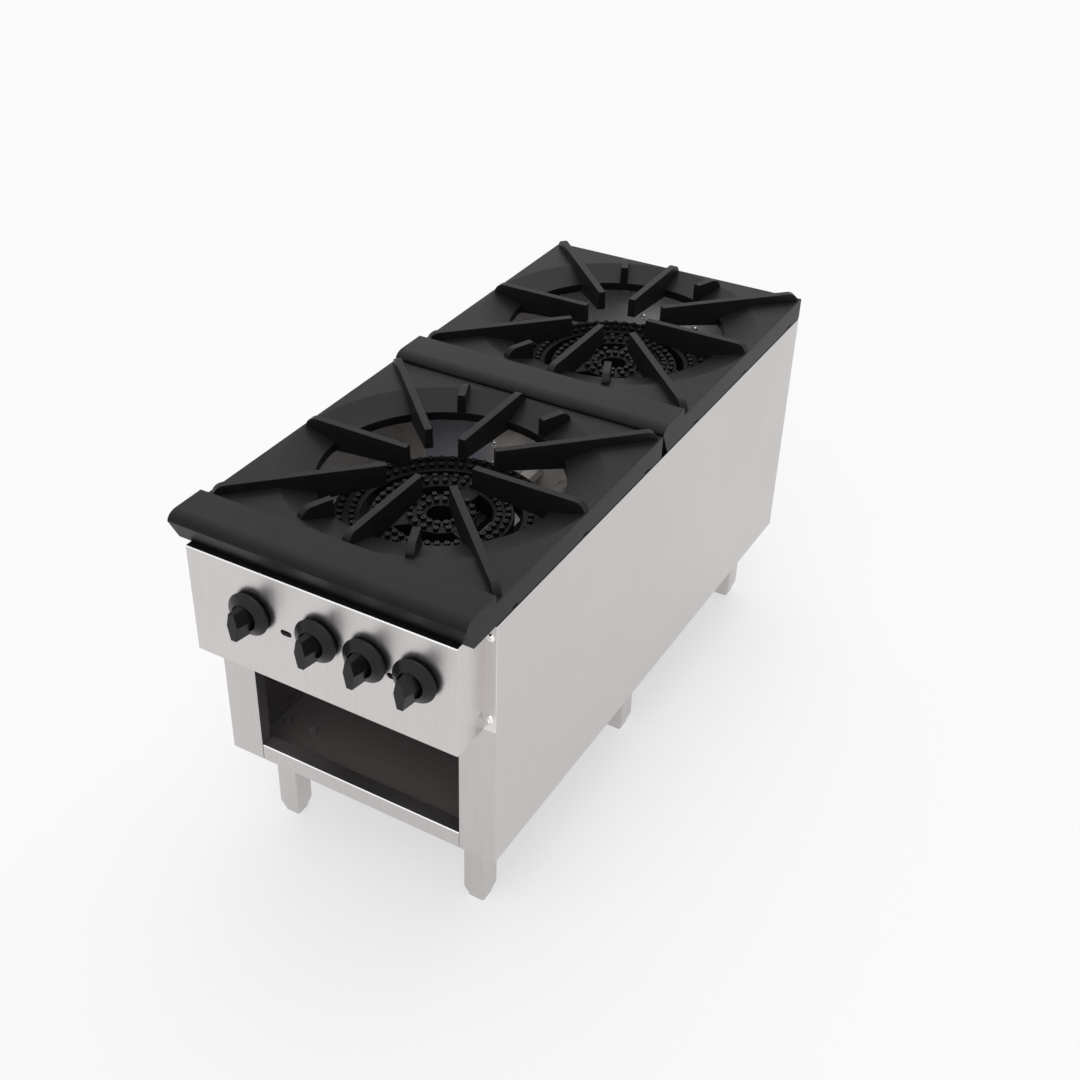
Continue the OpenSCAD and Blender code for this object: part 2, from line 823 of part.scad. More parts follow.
module pilot_valves() {
  color(brass) for (x = slot_x) {
    block([x - pilot_body / 2, y_pipe - pilot_body / 2, z_pilot - pilot_body / 2],
      [x + pilot_body / 2, y_pipe + pilot_body / 2, z_slot + pilot_body / 2]);
    upright(x, y_pipe, z_pipe + pipe_bore_r, pilot_r, z_pilot - z_pipe - pipe_bore_r);
    along_y(x, y_pipe - pilot_screw_l, z_slot, pilot_screw_r, pilot_screw_l);
  }
}

// A pilot's gas tube and its head beside the outer ring
module pilot(i, y_burner) {
  x = slot_x[i];
  y_head = y_burner - sqrt(pow(outer_out + pilot_head_gap, 2) - x * x);
  y_low = y_pipe + pilot_body / 2;
  color(brass) {
    along_y(x, y_low, z_pilot, pilot_r, y_head - y_low);
    upright(x, y_head, z_pilot - pilot_r - elbow_t, pilot_head_r,
      z_ring_top - z_pilot + pilot_r + elbow_t);
    upright(x, y_head, z_ring_top - overrun, pilot_head_r / 2, nub_h + overrun);
  }
}

// Legs and their adjustable feet
plate_t = 3;
tube_t = 2;
bolt_r = 4;
bolt_off = 6;
bolt_place = leg_side / 2 + bolt_off;
plate_edge = 14;
plate_side = 2 * (bolt_place + plate_edge);
nut_plate = 10;
foot_rod_r = 6;
foot_rod_l = 50;
leg_x = half_w - leg_inset_x;
leg_y = [
  y_face + leg_inset_front,
  (y_face + leg_inset_front + y_back - leg_inset_back) / 2,
  y_back - leg_inset_back
];

module leg_bolt_places() {
  for (side = [-1, 1], y = leg_y, i = [-1, 1], j = [-1, 1])
    translate([side * leg_x + i * bolt_place, y + j * bolt_place, z_base]) children();
}

module legs(side) {
  x = side * leg_x;
  outer = leg_side / 2;
  inner = outer - tube_t;
  color(steel) for (y = leg_y) difference() {
    translate([x, y, 0]) {
      block([-plate_side / 2, -plate_side / 2, z_base - plate_t],
        [plate_side / 2, plate_side / 2, z_base]);
      difference() {
        block([-outer, -outer, foot_h], [outer, outer, z_base - plate_t]);
        block([-inner, -inner, foot_h - overrun], [inner, inner, z_base]);
      }
      block([-outer, -outer, foot_h + tube_t], [outer, outer, foot_h + nut_plate]);
    }
    upright(x, y, 0, foot_rod_r + stem_fit, foot_h + nut_plate + overrun);
    leg_bolt_places() cylinder(r = bolt_r + slack, h = 3 * plate_t, center = true);
  }
}

module foot(side, i) {
  collar = leg_side * collar_share;
  sole = leg_side * sole_share;
  collar_h = foot_h * collar_h_share;
  sole_t = foot_h * sole_h_share;
  color(steel) translate([side * leg_x, leg_y[i], 0]) {
    hull() {
      block([-collar / 2, -collar / 2, foot_h - collar_h], [collar / 2, collar / 2, foot_h]);
      block([-sole / 2, -sole / 2, sole_t / 2], [sole / 2, sole / 2, sole_t]);
    }
    block([-sole / 2, -sole / 2, 0], [sole / 2, sole / 2, sole_t]);
    upright(0, 0, foot_h - collar_h, foot_rod_r, foot_rod_l);
  }
}

collar_share = 0.98;
collar_h_share = 0.12;
sole_share = 0.72;
sole_h_share = 0.26;

module leg_bolts() {
  head_r = 7.5;
  head_t = 5;
  nut_t = 6;
  thread_past = 3;
  color(steel) leg_bolt_places() {
    translate([0, 0, -plate_t - head_t]) {
      cylinder(r = head_r, h = head_t, $fn = 6);
      cylinder(r = bolt_r, h = head_t + plate_t + sheet + nut_t + thread_past);
    }
    translate([0, 0, sheet]) cylinder(r = head_r, h = nut_t, $fn = 6);
  }
}

mirror([1, 0, 0]) side_panel();  // left_side_panel
side_panel();  // right_side_panel
back_panel();
cabinet_floor();
front_bottom_rail();
front_upper_rail();
control_box();
heat_shield();
bay_partition();
rear_liner();
mirror([1, 0, 0]) liner();  // left_liner
liner();  // right_liner
mirror([1, 0, 0]) burner_rail();  // left_burner_rail
burner_rail();  // right_burner_rail
mirror([1, 0, 0]) tray_runner();  // left_tray_runner
tray_runner();  // right_tray_runner
drip_tray();
translate([0, y_burner_front, z_rim]) grate();  // front_grate
translate([0, y_burner_rear, z_rim]) grate();  // rear_grate
translate([0, y_burner_front, z_ring_top]) outer_ring(feeds[0]);  // front_outer_ring
translate([0, y_burner_front, z_ring_top]) centre_rings(feeds[1]);  // front_centre_rings
translate([0, y_burner_rear, z_ring_top]) outer_ring(feeds[3]);  // rear_outer_ring
translate([0, y_burner_rear, z_ring_top]) centre_rings(feeds[2]);  // rear_centre_rings
mixer(0);  // front_outer_mixer
mixer(1);  // front_centre_mixer
mixer(2);  // rear_centre_mixer
mixer(3);  // rear_outer_mixer
air_shutter(0);  // air_shutter_1
air_shutter(1);  // air_shutter_2
air_shutter(2);  // air_shutter_3
air_shutter(3);  // air_shutter_4
gas_valve(0);  // gas_valve_1
gas_valve(1);  // gas_valve_2
gas_valve(2);  // gas_valve_3
gas_valve(3);  // gas_valve_4
orifice_hoods();
valve_stem(0);  // valve_stem_1
valve_stem(1);  // valve_stem_2
valve_stem(2);  // valve_stem_3
valve_stem(3);  // valve_stem_4
knob(0);  // knob_1
knob(1);  // knob_2
knob(2);  // knob_3
knob(3);  // knob_4
gas_manifold();
gas_supply_pipe();
pilot_valves();
pilot(0, y_burner_front);  // front_pilot
pilot(1, y_burner_rear);  // rear_pilot
legs(-1);  // legs_left
legs(1);  // legs_right
foot(-1, 0);  // foot_front_left
foot(1, 0);  // foot_front_right
foot(-1, 1);  // foot_middle_left
foot(1, 1);  // foot_middle_right
foot(-1, 2);  // foot_rear_left
foot(1, 2);  // foot_rear_right
leg_bolts();
shell_screws();
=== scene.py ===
# %% [markdown]
# # A two-burner stock pot range
# The range is a tall box of folded stainless sheet on six legs. Two heavy cast grates lie in line
# on top, and under each one sits a burner of three port rings. Four lever knobs stand on a box
# that juts out of the front. The solids come ready made; here every piece that shows gets the
# rounded edges, the small features and the surface of the real one.

import json
from math import cos, hypot, pi, radians, sin, sqrt

import bmesh
import bpy
from mathutils import Matrix, Vector

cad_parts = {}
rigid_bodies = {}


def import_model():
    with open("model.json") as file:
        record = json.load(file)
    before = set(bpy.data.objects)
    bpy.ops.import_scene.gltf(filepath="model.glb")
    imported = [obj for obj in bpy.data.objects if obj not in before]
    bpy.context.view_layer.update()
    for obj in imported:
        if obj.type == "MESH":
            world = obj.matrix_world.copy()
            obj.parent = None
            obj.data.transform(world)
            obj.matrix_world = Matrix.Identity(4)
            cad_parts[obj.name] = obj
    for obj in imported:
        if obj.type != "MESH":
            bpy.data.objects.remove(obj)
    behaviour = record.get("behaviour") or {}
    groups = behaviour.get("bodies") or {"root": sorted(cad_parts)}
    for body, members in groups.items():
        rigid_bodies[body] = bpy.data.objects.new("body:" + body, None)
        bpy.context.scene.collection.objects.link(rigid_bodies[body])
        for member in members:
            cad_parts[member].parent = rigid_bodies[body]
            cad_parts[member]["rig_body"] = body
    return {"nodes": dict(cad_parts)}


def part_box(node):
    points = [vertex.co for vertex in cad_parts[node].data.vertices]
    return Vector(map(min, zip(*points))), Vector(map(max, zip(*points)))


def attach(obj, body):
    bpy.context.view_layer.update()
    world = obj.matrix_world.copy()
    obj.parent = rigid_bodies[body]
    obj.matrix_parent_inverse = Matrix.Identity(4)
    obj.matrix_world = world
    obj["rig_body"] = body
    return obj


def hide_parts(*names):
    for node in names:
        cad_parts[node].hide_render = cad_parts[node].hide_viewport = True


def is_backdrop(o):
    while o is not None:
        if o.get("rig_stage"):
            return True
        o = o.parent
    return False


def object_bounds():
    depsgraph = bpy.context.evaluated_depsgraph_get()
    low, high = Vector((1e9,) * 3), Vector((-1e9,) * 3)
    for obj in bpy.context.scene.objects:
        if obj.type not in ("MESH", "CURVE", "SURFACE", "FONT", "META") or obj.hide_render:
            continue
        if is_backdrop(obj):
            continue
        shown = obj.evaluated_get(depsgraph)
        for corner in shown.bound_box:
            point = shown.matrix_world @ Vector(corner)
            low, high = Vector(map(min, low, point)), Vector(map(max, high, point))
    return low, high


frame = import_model()
nodes = frame["nodes"]
cad_low, cad_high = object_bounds()
print("solids:", len(nodes))
print("box:", [round(v, 4) for v in cad_low], [round(v, 4) for v in cad_high])

# %% [markdown]
# ## Working as at the bench
# Blender's operators act on whatever is selected, so the first helpers put one object on the
# bench, go into edit mode on it, and pick its points, edges or faces by where they are. Picking
# by place keeps each step readable and survives a change of a size. Two places count as the same
# when they lie within a fraction of a millimetre.

# %% The bench
def bench(piece):
    if bpy.context.object and bpy.context.object.mode != "OBJECT":
        bpy.ops.object.mode_set(mode="OBJECT")
    bpy.ops.object.select_all(action="DESELECT")
    piece.select_set(True)
    bpy.context.view_layer.objects.active = piece
    return piece


def shaping(piece):
    bench(piece)
    bpy.ops.object.mode_set(mode="EDIT")
    return piece


def shaped():
    bpy.ops.object.mode_set(mode="OBJECT")


def pick(kind, test):
    """Selects the points, edges or faces whose middle and direction pass the test."""
    bpy.ops.mesh.select_mode(type=kind)
    bpy.ops.mesh.select_all(action="DESELECT")
    me = bmesh.from_edit_mesh(bpy.context.edit_object.data)
    found = 0
    for g in {"VERT": me.verts, "EDGE": me.edges, "FACE": me.faces}[kind]:
        if kind == "VERT":
            place, direction = g.co, g.normal
        elif kind == "EDGE":
            a, b = g.verts[0].co, g.verts[1].co
            place, direction = (a + b) / 2, (b - a).normalized()
        else:
            place, direction = g.calc_center_median(), g.normal
        if test(place, direction):
            g.select_set(True)
            found += 1
    me.select_flush_mode()
    bmesh.update_edit_mesh(bpy.context.edit_object.data)
    return found


hair, same_point = 0.0002, 0.00001


def near(a, b):
    return abs(a - b) < hair


def pulled(x, y, z):
    """Extrudes the picked faces by a move."""
    bpy.ops.mesh.extrude_region_move(TRANSFORM_OT_translate={"value": (x, y, z)})


def closed_up():
    """Merges points that lie on each other and turns every face outwards."""
    bpy.ops.mesh.select_all(action="SELECT")
    bpy.ops.mesh.remove_doubles(threshold=same_point)
    bpy.ops.mesh.normals_make_consistent(inside=False)


print("bench ready, places agree within", hair * 1000, "mm")

# %% [markdown]
# ## Blanks
# Three blanks start nearly everything: a block between two corners, a round bar, and a turned
# shape, made by placing the points of a flat ring on the half section and spinning it once round.
# Each is put at its final place at once, because a piece's object stays at the origin.

# %% Blanks
def settled(name):
    """Names the new object and moves its place into its mesh."""
    piece = bpy.context.object
    piece.name = name
    piece.data.name = name
    bpy.ops.object.transform_apply(location=True, rotation=True, scale=True)
    return piece


def block(name, low, high):
    bpy.ops.object.select_all(action="DESELECT")
    low, high = Vector(low), Vector(high)
    bpy.ops.mesh.primitive_cube_add(size=1, location=(low + high) / 2, scale=high - low)
    return settled(name)


def round_bar(name, place, r, length, sides):
    bpy.ops.object.select_all(action="DESELECT")
    bpy.ops.mesh.primitive_cylinder_add(vertices=sides, radius=r, depth=length, location=place)
    return settled(name)


def turned(name, section, steps, turn=(0, 0, 0)):
    """Spins a closed half section, given as (radius, height) pairs, once round the Z axis."""
    bpy.ops.object.select_all(action="DESELECT")
    bpy.ops.mesh.primitive_circle_add(vertices=len(section), radius=0.01)
    piece = bpy.context.object
    shaping(piece)
    me = bmesh.from_edit_mesh(piece.data)
    for v, (r, z) in zip(me.verts, section):
        v.co = (r, 0, z)
    bmesh.update_edit_mesh(piece.data)
    bpy.ops.mesh.select_all(action="SELECT")
    bpy.ops.mesh.spin(
        steps=steps, angle=2 * pi, center=(0, 0, 0), axis=(0, 0, 1), use_auto_merge=True
    )
    closed_up()
    shaped()
    piece.rotation_euler = turn
    return settled(name)


def copied(piece, name, move=(0, 0, 0), turn=0):
    """A copy with its own mesh, turned about the Z axis and then moved."""
    twin = piece.copy()
    twin.data = piece.data.copy()
    twin.name = name
    bpy.context.scene.collection.objects.link(twin)
    twin.data.transform(Matrix.Translation(move) @ Matrix.Rotation(turn, 4, "Z"))
    return twin


def joined(name, pieces):
    bench(pieces[0])
    for p in pieces[1:]:
        p.select_set(True)
    bpy.ops.object.join()
    pieces[0].name = name
    pieces[0].data.name = name
    return pieces[0]


print("blanks ready")

# %% [markdown]
# ## Cutting, rounding and smoothing
# A cut is a Boolean modifier that is applied at once, and the cutter is thrown away. No pressed,
# cast or moulded edge is razor sharp, so each piece then gets a Bevel on its sharp edges. A
# Weighted Normal modifier keeps the wide faces flat and lets only the rounded edge shade softly.

# %% Cutting and rounding
def applied(piece, kind, **settings):
    bench(piece)
    step = piece.modifiers.new(kind.lower(), kind)
    for key, value in settings.items():
        setattr(step, key, value)
    bpy.ops.object.modifier_apply(modifier=step.name)
    return piece


def cut(piece, tool, way="DIFFERENCE"):
    applied(piece, "BOOLEAN", operation=way, solver="EXACT", object=tool)
    bpy.data.objects.remove(tool)
    return piece


def smoothed(piece, angle=38):
    bench(piece)
    bpy.ops.object.shade_smooth_by_angle(angle=radians(angle), keep_sharp_edges=False)
    applied(piece, "WEIGHTED_NORMAL", keep_sharp=True, weight=60)
    return piece


def rounded(piece, width, segments=2, over=32):
    """Rounds the edges that turn by more than an angle, given in degrees."""
    applied(
        piece, "BEVEL", width=width, segments=segments, limit_method="ANGLE",
        angle_limit=radians(over), miter_outer="MITER_ARC", use_clamp_overlap=True,
    )
    return smoothed(piece)


print("cutting and rounding ready")

# %% [markdown]
# Many solids have the right shape and lack only the softness of folded or cast metal. A
# look-alike is a copy of such a solid whose loose triangles are merged to whole faces. A real
# fold is wider than the rest of the edges, so its edges are picked and rounded first: each bend
# names a radius, the number of the finish that the rounding takes, and a test that finds its
# edges. Finish 0 is the piece's own, and finish 1 is a near-white coat, a painted highlight along
# the fold.

# %% Look-alikes
def softened(node, width=0.0004, name=None, bends=()):
    source = nodes[node]
    piece = bpy.data.objects.new(name or node + "_sheet", source.data.copy())
    bpy.context.scene.collection.objects.link(piece)
    piece.data.materials.clear()
    for m in (stainless, painted_highlight_bend):
        piece.data.materials.append(m)
    shaping(piece)
    bpy.ops.mesh.select_all(action="SELECT")
    bpy.ops.mesh.remove_doubles(threshold=same_point / 2)
    bpy.ops.mesh.dissolve_limited(angle_limit=radians(0.6))
    for radius, coat, test in bends:
        if pick("EDGE", test):
            bpy.ops.mesh.bevel(offset=radius, segments=4, profile=0.5, material=coat)
    shaped()
    rounded(piece, width)
    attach(piece, source["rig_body"])
    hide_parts(node)
    return piece


print("look-alikes ready")

# %% [markdown]
# ## Surfaces
# Every finish is a small network of nodes that reads Object coordinates, so a pattern has a real
# size in metres and stays with its piece. The same few steps come back each time: noise, a ramp
# that spreads it over the wanted range, and a bump.

# %% Finish helpers
def finish(name, colour, rough, metal=0.0):
    m = bpy.data.materials.new(name)
    m.use_nodes = True
    shader = m.node_tree.nodes["Principled BSDF"]
    shader.inputs["Base Color"].default_value = (*colour, 1)
    shader.inputs["Metallic"].default_value = metal
    shader.inputs["Roughness"].default_value = rough
    m.diffuse_color = (*colour, 1)
    return m, m.node_tree, shader


def place_on(tree, stretch=(1, 1, 1)):
    """Object coordinates, stretched so that a pattern runs long in one direction."""
    where = tree.nodes.new("ShaderNodeTexCoord")
    scale = tree.nodes.new("ShaderNodeMapping")
    scale.inputs["Scale"].default_value = stretch
    tree.links.new(where.outputs["Object"], scale.inputs["Vector"])
    return scale.outputs["Vector"]


def noise(tree, vector, size, detail=4.0, rough=0.55):
    """Noise whose lumps are about size metres across."""
    n = tree.nodes.new("ShaderNodeTexNoise")
    n.inputs["Scale"].default_value = 1 / size
    n.inputs["Detail"].default_value = detail
    n.inputs["Roughness"].default_value = rough
    tree.links.new(vector, n.inputs["Vector"])
    return n.outputs["Fac"]


def spread(tree, value, low, high, out_low, out_high):
    """Maps a value from one range to another."""
    r = tree.nodes.new("ShaderNodeMapRange")
    ends = {"From Min": low, "From Max": high, "To Min": out_low, "To Max": out_high}
    for key, v in ends.items():
        r.inputs[key].default_value = v
    tree.links.new(value, r.inputs["Value"])
    return r.outputs["Result"]


def evened(tree, value, out_low, out_high):
    """Spreads noise, most of which lies between 0.3 and 0.7, over the wanted range."""
    return spread(tree, value, 0.3, 0.7, out_low, out_high)


def combined(tree, how, first, second):
    """Adds or multiplies two values, or takes the larger one."""
    both = tree.nodes.new("ShaderNodeMath")
    both.operation = how
    tree.links.new(first, both.inputs[0])
    tree.links.new(second, both.inputs[1])
    return both.outputs["Value"]


def blend_colour(tree, value, first, second):
    m = tree.nodes.new("ShaderNodeMix")
    m.data_type = "RGBA"
    m.inputs["A"].default_value = (*first, 1)
    m.inputs["B"].default_value = (*second, 1)
    tree.links.new(value, m.inputs["Factor"])
    return m.outputs["Result"]


def bump(tree, shader, value, height, under=None):
    b = tree.nodes.new("ShaderNodeBump")
    b.inputs["Distance"].default_value = height
    b.inputs["Strength"].default_value = 1.0
    tree.links.new(value, b.inputs["Height"])
    if under is not None:
        tree.links.new(under, b.inputs["Normal"])
    tree.links.new(b.outputs["Normal"], shader.inputs["Normal"])
    return b.outputs["Normal"]


print("finish helpers ready")

# %% [markdown]
# ### Brushed stainless
# The panels are rubbed with a belt, so the metal carries fine scratches in one direction and
# blurs what it mirrors. Long thin noise gives the scratches, in the roughness and in a very
# shallow bump, and a slow cloudy noise stands for the uneven hand of the belt. The box in front
# is painted a little lighter than the panels, a painted light against the shade of the grate's
# nose, and its flanges lighter still, a painted light for their dim corner. With less metal in
# them, the same nodes make the inner sheet: darker in the closed compartment, a painted shade,
# and near white round the burners, a painted light. A near-white coat paints the highlight
# along some folds.

# %% Brushed stainless
scratch_gap, scratch_depth, belt_cloud = 0.0011, 0.000012, 0.16
long_scratches, short_scratches = (1, 1, 0.012), (1, 1, 0.03)


def brushed(name, colour, stretch, rough, metal=1.0):
    m, tree, shader = finish(name, colour, rough, metal)
    lines = noise(tree, place_on(tree, stretch), scratch_gap, detail=5, rough=0.62)
    clouds = noise(tree, place_on(tree), belt_cloud, detail=3)
    fine = evened(tree, lines, -0.05, 0.05)
    slow = evened(tree, clouds, rough - 0.03, rough + 0.03)
    tree.links.new(combined(tree, "ADD", fine, slow), shader.inputs["Roughness"])
    dark = tuple(c * 0.93 for c in colour)
    light = tuple(min(1, c * 1.04) for c in colour)
    tint = blend_colour(tree, evened(tree, lines, 0, 1), dark, light)
    tree.links.new(tint, shader.inputs["Base Color"])
    bump(tree, shader, lines, scratch_depth)
    return m


stainless = brushed("brushed_stainless", (0.585, 0.565, 0.56), long_scratches, 0.34)
# Painted light: the box is lighter than the panels, to offset the shade under the grate's nose.
box_lightened_steel = brushed("box_stainless_painted_light", (0.645, 0.623, 0.617), long_scratches, 0.34)
# Painted light: the box's flanges, lighter still to offset their dim corner.
flange_lightened_steel = brushed("flange_stainless_painted_light", (0.80, 0.775, 0.765), long_scratches, 0.36)
# Painted highlight: near-white metal for the bright line along the level folds.
painted_highlight_bend = brushed("painted_highlight_bend", (0.96, 0.955, 0.95), (1, 1, 0.05), 0.2)
screw_steel = brushed("plated_screw", (0.93, 0.925, 0.92), (0.3, 1, 1), 0.14)
# Painted shade: the inner sheet darkened where it lies in the closed compartment.
shaded_inner_sheet = brushed("inner_sheet_painted_shade", (0.185, 0.171, 0.167), short_scratches, 0.5, metal=0.12)
# Painted light: the same inner sheet near white for the liners round the burners.
lit_liner_sheet = brushed("liner_sheet_painted_light", (0.96, 0.92, 0.89), short_scratches, 0.45, metal=0.2)
lit_rear_sheet = brushed("rear_sheet_painted_light", (1.0, 0.97, 0.95), short_scratches, 0.42, metal=0.0)
dull_zinc = brushed("dull_zinc", (0.20, 0.19, 0.185), (1, 1, 0.2), 0.6, metal=0.2)
brass = brushed("machined_brass", (0.56, 0.40, 0.17), (1, 0.05, 1), 0.3)
print("made", len(bpy.data.materials), "brushed finishes")

# %% [markdown]
# ### Tinted sheet
# Part of the partition between the burners is tinted bluish, and the rails and gas tubes below
# the burners are darkened. So the tint has to know where it is: it comes in between two places
# along one axis, and a little noise lets its border wander. The dark lies only under the two
# burners, which leaves the tubes bright where they run free. The untinted partition and rails
# are near white, a painted light like that of the liners.

# %% Tints in spans
under_burners = [(-0.34, -0.10), (0.19, 0.43)]
blue_span = [(-0.19, -0.062)]
under_burner_dark, tint_border, tint_wander = (0.016, 0.014, 0.014), 0.012, 0.06


def tinted_in_spans(name, plain, tint, axis, spans, stretch=short_scratches):
    """Brushed metal that is tinted where it lies within one of the spans along an axis."""
    m = brushed(name, plain, stretch, 0.45, metal=0.3)
    tree, soft = m.node_tree, tint_border
    axes = tree.nodes.new("ShaderNodeSeparateXYZ")
    tree.links.new(place_on(tree), axes.inputs["Vector"])
    wander = spread(tree, noise(tree, place_on(tree), tint_wander, detail=3), 0, 1, -soft, soft)
    place = combined(tree, "ADD", axes.outputs[axis], wander)
    in_span = None
    for low, high in spans:
        rise = spread(tree, place, low - soft, low + soft, 0, 1)
        fall = spread(tree, place, high - soft, high + soft, 1, 0)
        inside = combined(tree, "MULTIPLY", rise, fall)
        in_span = inside if in_span is None else combined(tree, "MAXIMUM", in_span, inside)
    shader = tree.nodes["Principled BSDF"]
    tree.links.new(blend_colour(tree, in_span, plain, tint), shader.inputs["Base Color"])
    return m


# Near-white partition sheet, a painted light, tinted bluish over one span in X.
blue_sheet = tinted_in_spans(
    "lit_blue_tinted_sheet", (0.98, 0.92, 0.89), (0.72, 0.73, 0.86), "X", blue_span
)
# Near-white rail sheet, a painted light, darkened where it lies under the burners.
rail_dark_under_burners = tinted_in_spans("lit_rail_sheet_dark_under_burners", (0.96, 0.92, 0.89), under_burner_dark, "Y", under_burners)
tube_dark_under_burners = tinted_in_spans(
    "tube_dark_under_burners", (0.62, 0.60, 0.585), under_burner_dark, "Y", under_burners, stretch=(1, 0.05, 1)
)
print("tinted along", len(blue_span), "span in X and", len(under_burners), "in Y")

# %% [markdown]
# ### Cast iron and moulded black
# The grates are sand cast and coated satin black. A fine noise gives the grains of the sand, and
# a slow one the soft lumps of the casting and its uneven colour. The burner castings are raw and
# even darker, and their port rims get a brighter, glossier coat, a painted highlight. The knobs
# are moulded black, with a near-black matt coat that paints the shade on the back of the disc.
# Another near-black coat paints the shade on sheet faces tucked under the grates and the nose.

# %% Cast and moulded finishes
def cast(name, colour, rough, grain, lumps, gloss=0.3):
    m, tree, shader = finish(name, colour, rough)
    shader.inputs["Specular IOR Level"].default_value = gloss
    sand = noise(tree, place_on(tree), grain, detail=5, rough=0.6)
    soft = noise(tree, place_on(tree), 0.03, detail=4)
    dark, light = (tuple(c * share for c in colour) for share in (0.85, 1.15))
    tint = blend_colour(tree, evened(tree, soft, 0, 1), dark, light)
    tree.links.new(tint, shader.inputs["Base Color"])
    tree.links.new(evened(tree, sand, rough - 0.08, rough + 0.08), shader.inputs["Roughness"])
    first = bump(tree, shader, soft, lumps)
    bump(tree, shader, sand, grain * 0.03, under=first)
    return m


grate_iron = cast("satin_black_cast_iron", (0.010, 0.010, 0.010), 0.4, 0.0016, 0.00004, 0.13)
burner_iron = cast("raw_burner_iron", (0.006, 0.006, 0.0062), 0.42, 0.0012, 0.00003, 0.11)
# Painted highlight: a brighter, glossier coat for the rims of the ports.
port_iron = cast("port_rim_painted_highlight", (0.012, 0.012, 0.012), 0.36, 0.0012, 0.00001, 0.32)
# Painted shade: near black for sheet faces that lie in shade under the grates and the nose.
shade_black = cast("steel_painted_shade", (0.012, 0.011, 0.011), 0.5, 0.002, 0.00001, 0.1)
pipe_black = cast("black_pipe", (0.015, 0.015, 0.015), 0.42, 0.002, 0.00003)
knob_black = cast("moulded_black", (0.009, 0.009, 0.0095), 0.34, 0.0008, 0.00001, 0.25)
# Painted shade: near-black matt for the back of the knob's disc.
knob_shade = cast("knob_back_painted_shade", (0.0022, 0.0021, 0.0021), 0.7, 0.0008, 0.00001, 0.04)
print("made", len(bpy.data.materials), "finishes in all")

# %% [markdown]
# Each piece takes the usual finish of the kind of surface that it stands for, unless the
# photograph shows another one there.

# %% Dressing a piece
finish_of = {
    "stainless": stainless, "inner_sheet": shaded_inner_sheet, "cast_iron": grate_iron,
    "burner_iron": burner_iron, "pipe": pipe_black, "brass": brass, "knob_plastic": knob_black,
}


def dressed(piece, slot, special=None):
    if not piece.data.materials:
        piece.data.materials.append(None)
    piece.data.materials[0] = special or finish_of[slot]
    return piece


print("kinds of surface:", ", ".join(finish_of))

# %% [markdown]
# ## Levels and lines
# A few planes are shared by many pieces. They are read off the solids, so the looks follow when
# a size changes.

# %% Shared planes
half_w = cad_high.x
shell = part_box("right_side_panel")
y_face, z_top = shell[0].y, shell[1].z
box_low, box_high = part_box("control_box")
y_panel, z_box = box_low.y, box_low.z
finger_rise = 0.0133
z_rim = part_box("front_grate")[1].z - finger_rise
print("rim", round(z_rim, 4), "cabinet top", round(z_top, 4), "front", round(y_face, 4))

# %% [markdown]
# ## The grate casting
# On the real range one casting carries the pot: a plate with a hanging flange, a rounded nose in
# front, a shallow dish round the burner opening, and twelve fingers. The plate starts as a block.
# Its front is pulled out for the nose, its underside is inset and pushed in for the hollow, and
# the lower front edge is drawn back, which gives the nose its slanting chin. The casting is made
# with the burner's centre at the origin and the rim at height zero.

# %% Grate plate and nose
cast_t, flange_h = 0.008, 0.034
nose_d, nose_rise, nose_round, chin = 0.069, 0.012, 0.019, 0.01794
y_plate, y_edge = -0.2355, 0.2275


def grate_plate():
    plate = block("grate", (-half_w, y_plate, -flange_h), (half_w, y_edge, 0))
    shaping(plate)
    pick("FACE", lambda c, n: n.y < -0.9)
    pulled(0, -nose_d, 0)
    pick("FACE", lambda c, n: n.z > 0.9 and c.y < y_plate)
    pulled(0, 0, nose_rise)
    closed_up()
    pick("FACE", lambda c, n: n.z < -0.9)
    bpy.ops.mesh.inset(thickness=cast_t)
    pulled(0, 0, flange_h - cast_t)
    pick("VERT", lambda c, n: c.z < -flange_h / 2 and c.y < y_plate - nose_d / 2)
    bpy.ops.transform.translate(value=(0, chin, 0))
    pick("EDGE", lambda c, d: near(c.z, nose_rise) and near(c.y, y_plate - nose_d))
    bpy.ops.mesh.bevel(offset=nose_round, segments=14, profile=0.5)
    shaped()
    return plate


plate = grate_plate()
print("plate", len(plate.data.polygons), "faces")

# %% [markdown]
# The dish is the hollow that catches boil-overs. Under it the casting is as thick as elsewhere,
# so a turned ring is added below first, and a turned cutter then takes the bowl and the opening
# out of both in one go. The bowl's slope is steep at the opening and runs out flat at the rim.

# %% Dish and opening
dish_r, opening_r, dish_drop, rim_wall = 0.226, 0.175, 0.015, 0.013
slope = [
    (opening_r, -dish_drop), (0.2, -0.0079), (0.214, -0.0036), (0.2205, -0.0016),
    (0.224, -0.0005), (dish_r, 0.0),
]


def dish_ring():
    low, high = -dish_drop - rim_wall, -0.003
    inner, step, outer = opening_r - 0.002, opening_r + cast_t, dish_r + 0.001
    return turned("dish_ring", [
        (inner, low), (step, low), (step, -dish_drop - cast_t), (outer, -cast_t), (outer, high),
        (inner, high),
    ], steps=144)


def dish_cutter():
    below, above = -0.06, 0.004
    return turned("dish_cutter", [
        (0.0, below), (opening_r, below), *slope, (dish_r, above), (0.0, above),
    ], steps=144)


cut(plate, dish_ring(), "UNION")
cut(plate, dish_cutter())
rounded(plate, 0.0016, 3, over=35)
print("plate with dish", len(plate.data.polygons), "faces")

# %% [markdown]
# A finger is a straight bar with a level top. Its inner end hangs in the opening like a blunt
# tooth, its underside follows the dish, and its outer end rolls down to the rim. The block is
# cut across at the places where its underside bends, and those points are then lifted. Its
# sides lean out a little towards the root, as a casting needs to leave its mould.

# %% Fingers
finger_w, tip_h, short_drop, draft = 0.011, 0.031, 0.0047, 1.16
root_depth, short_depth = dish_drop + rim_wall, dish_drop + short_drop


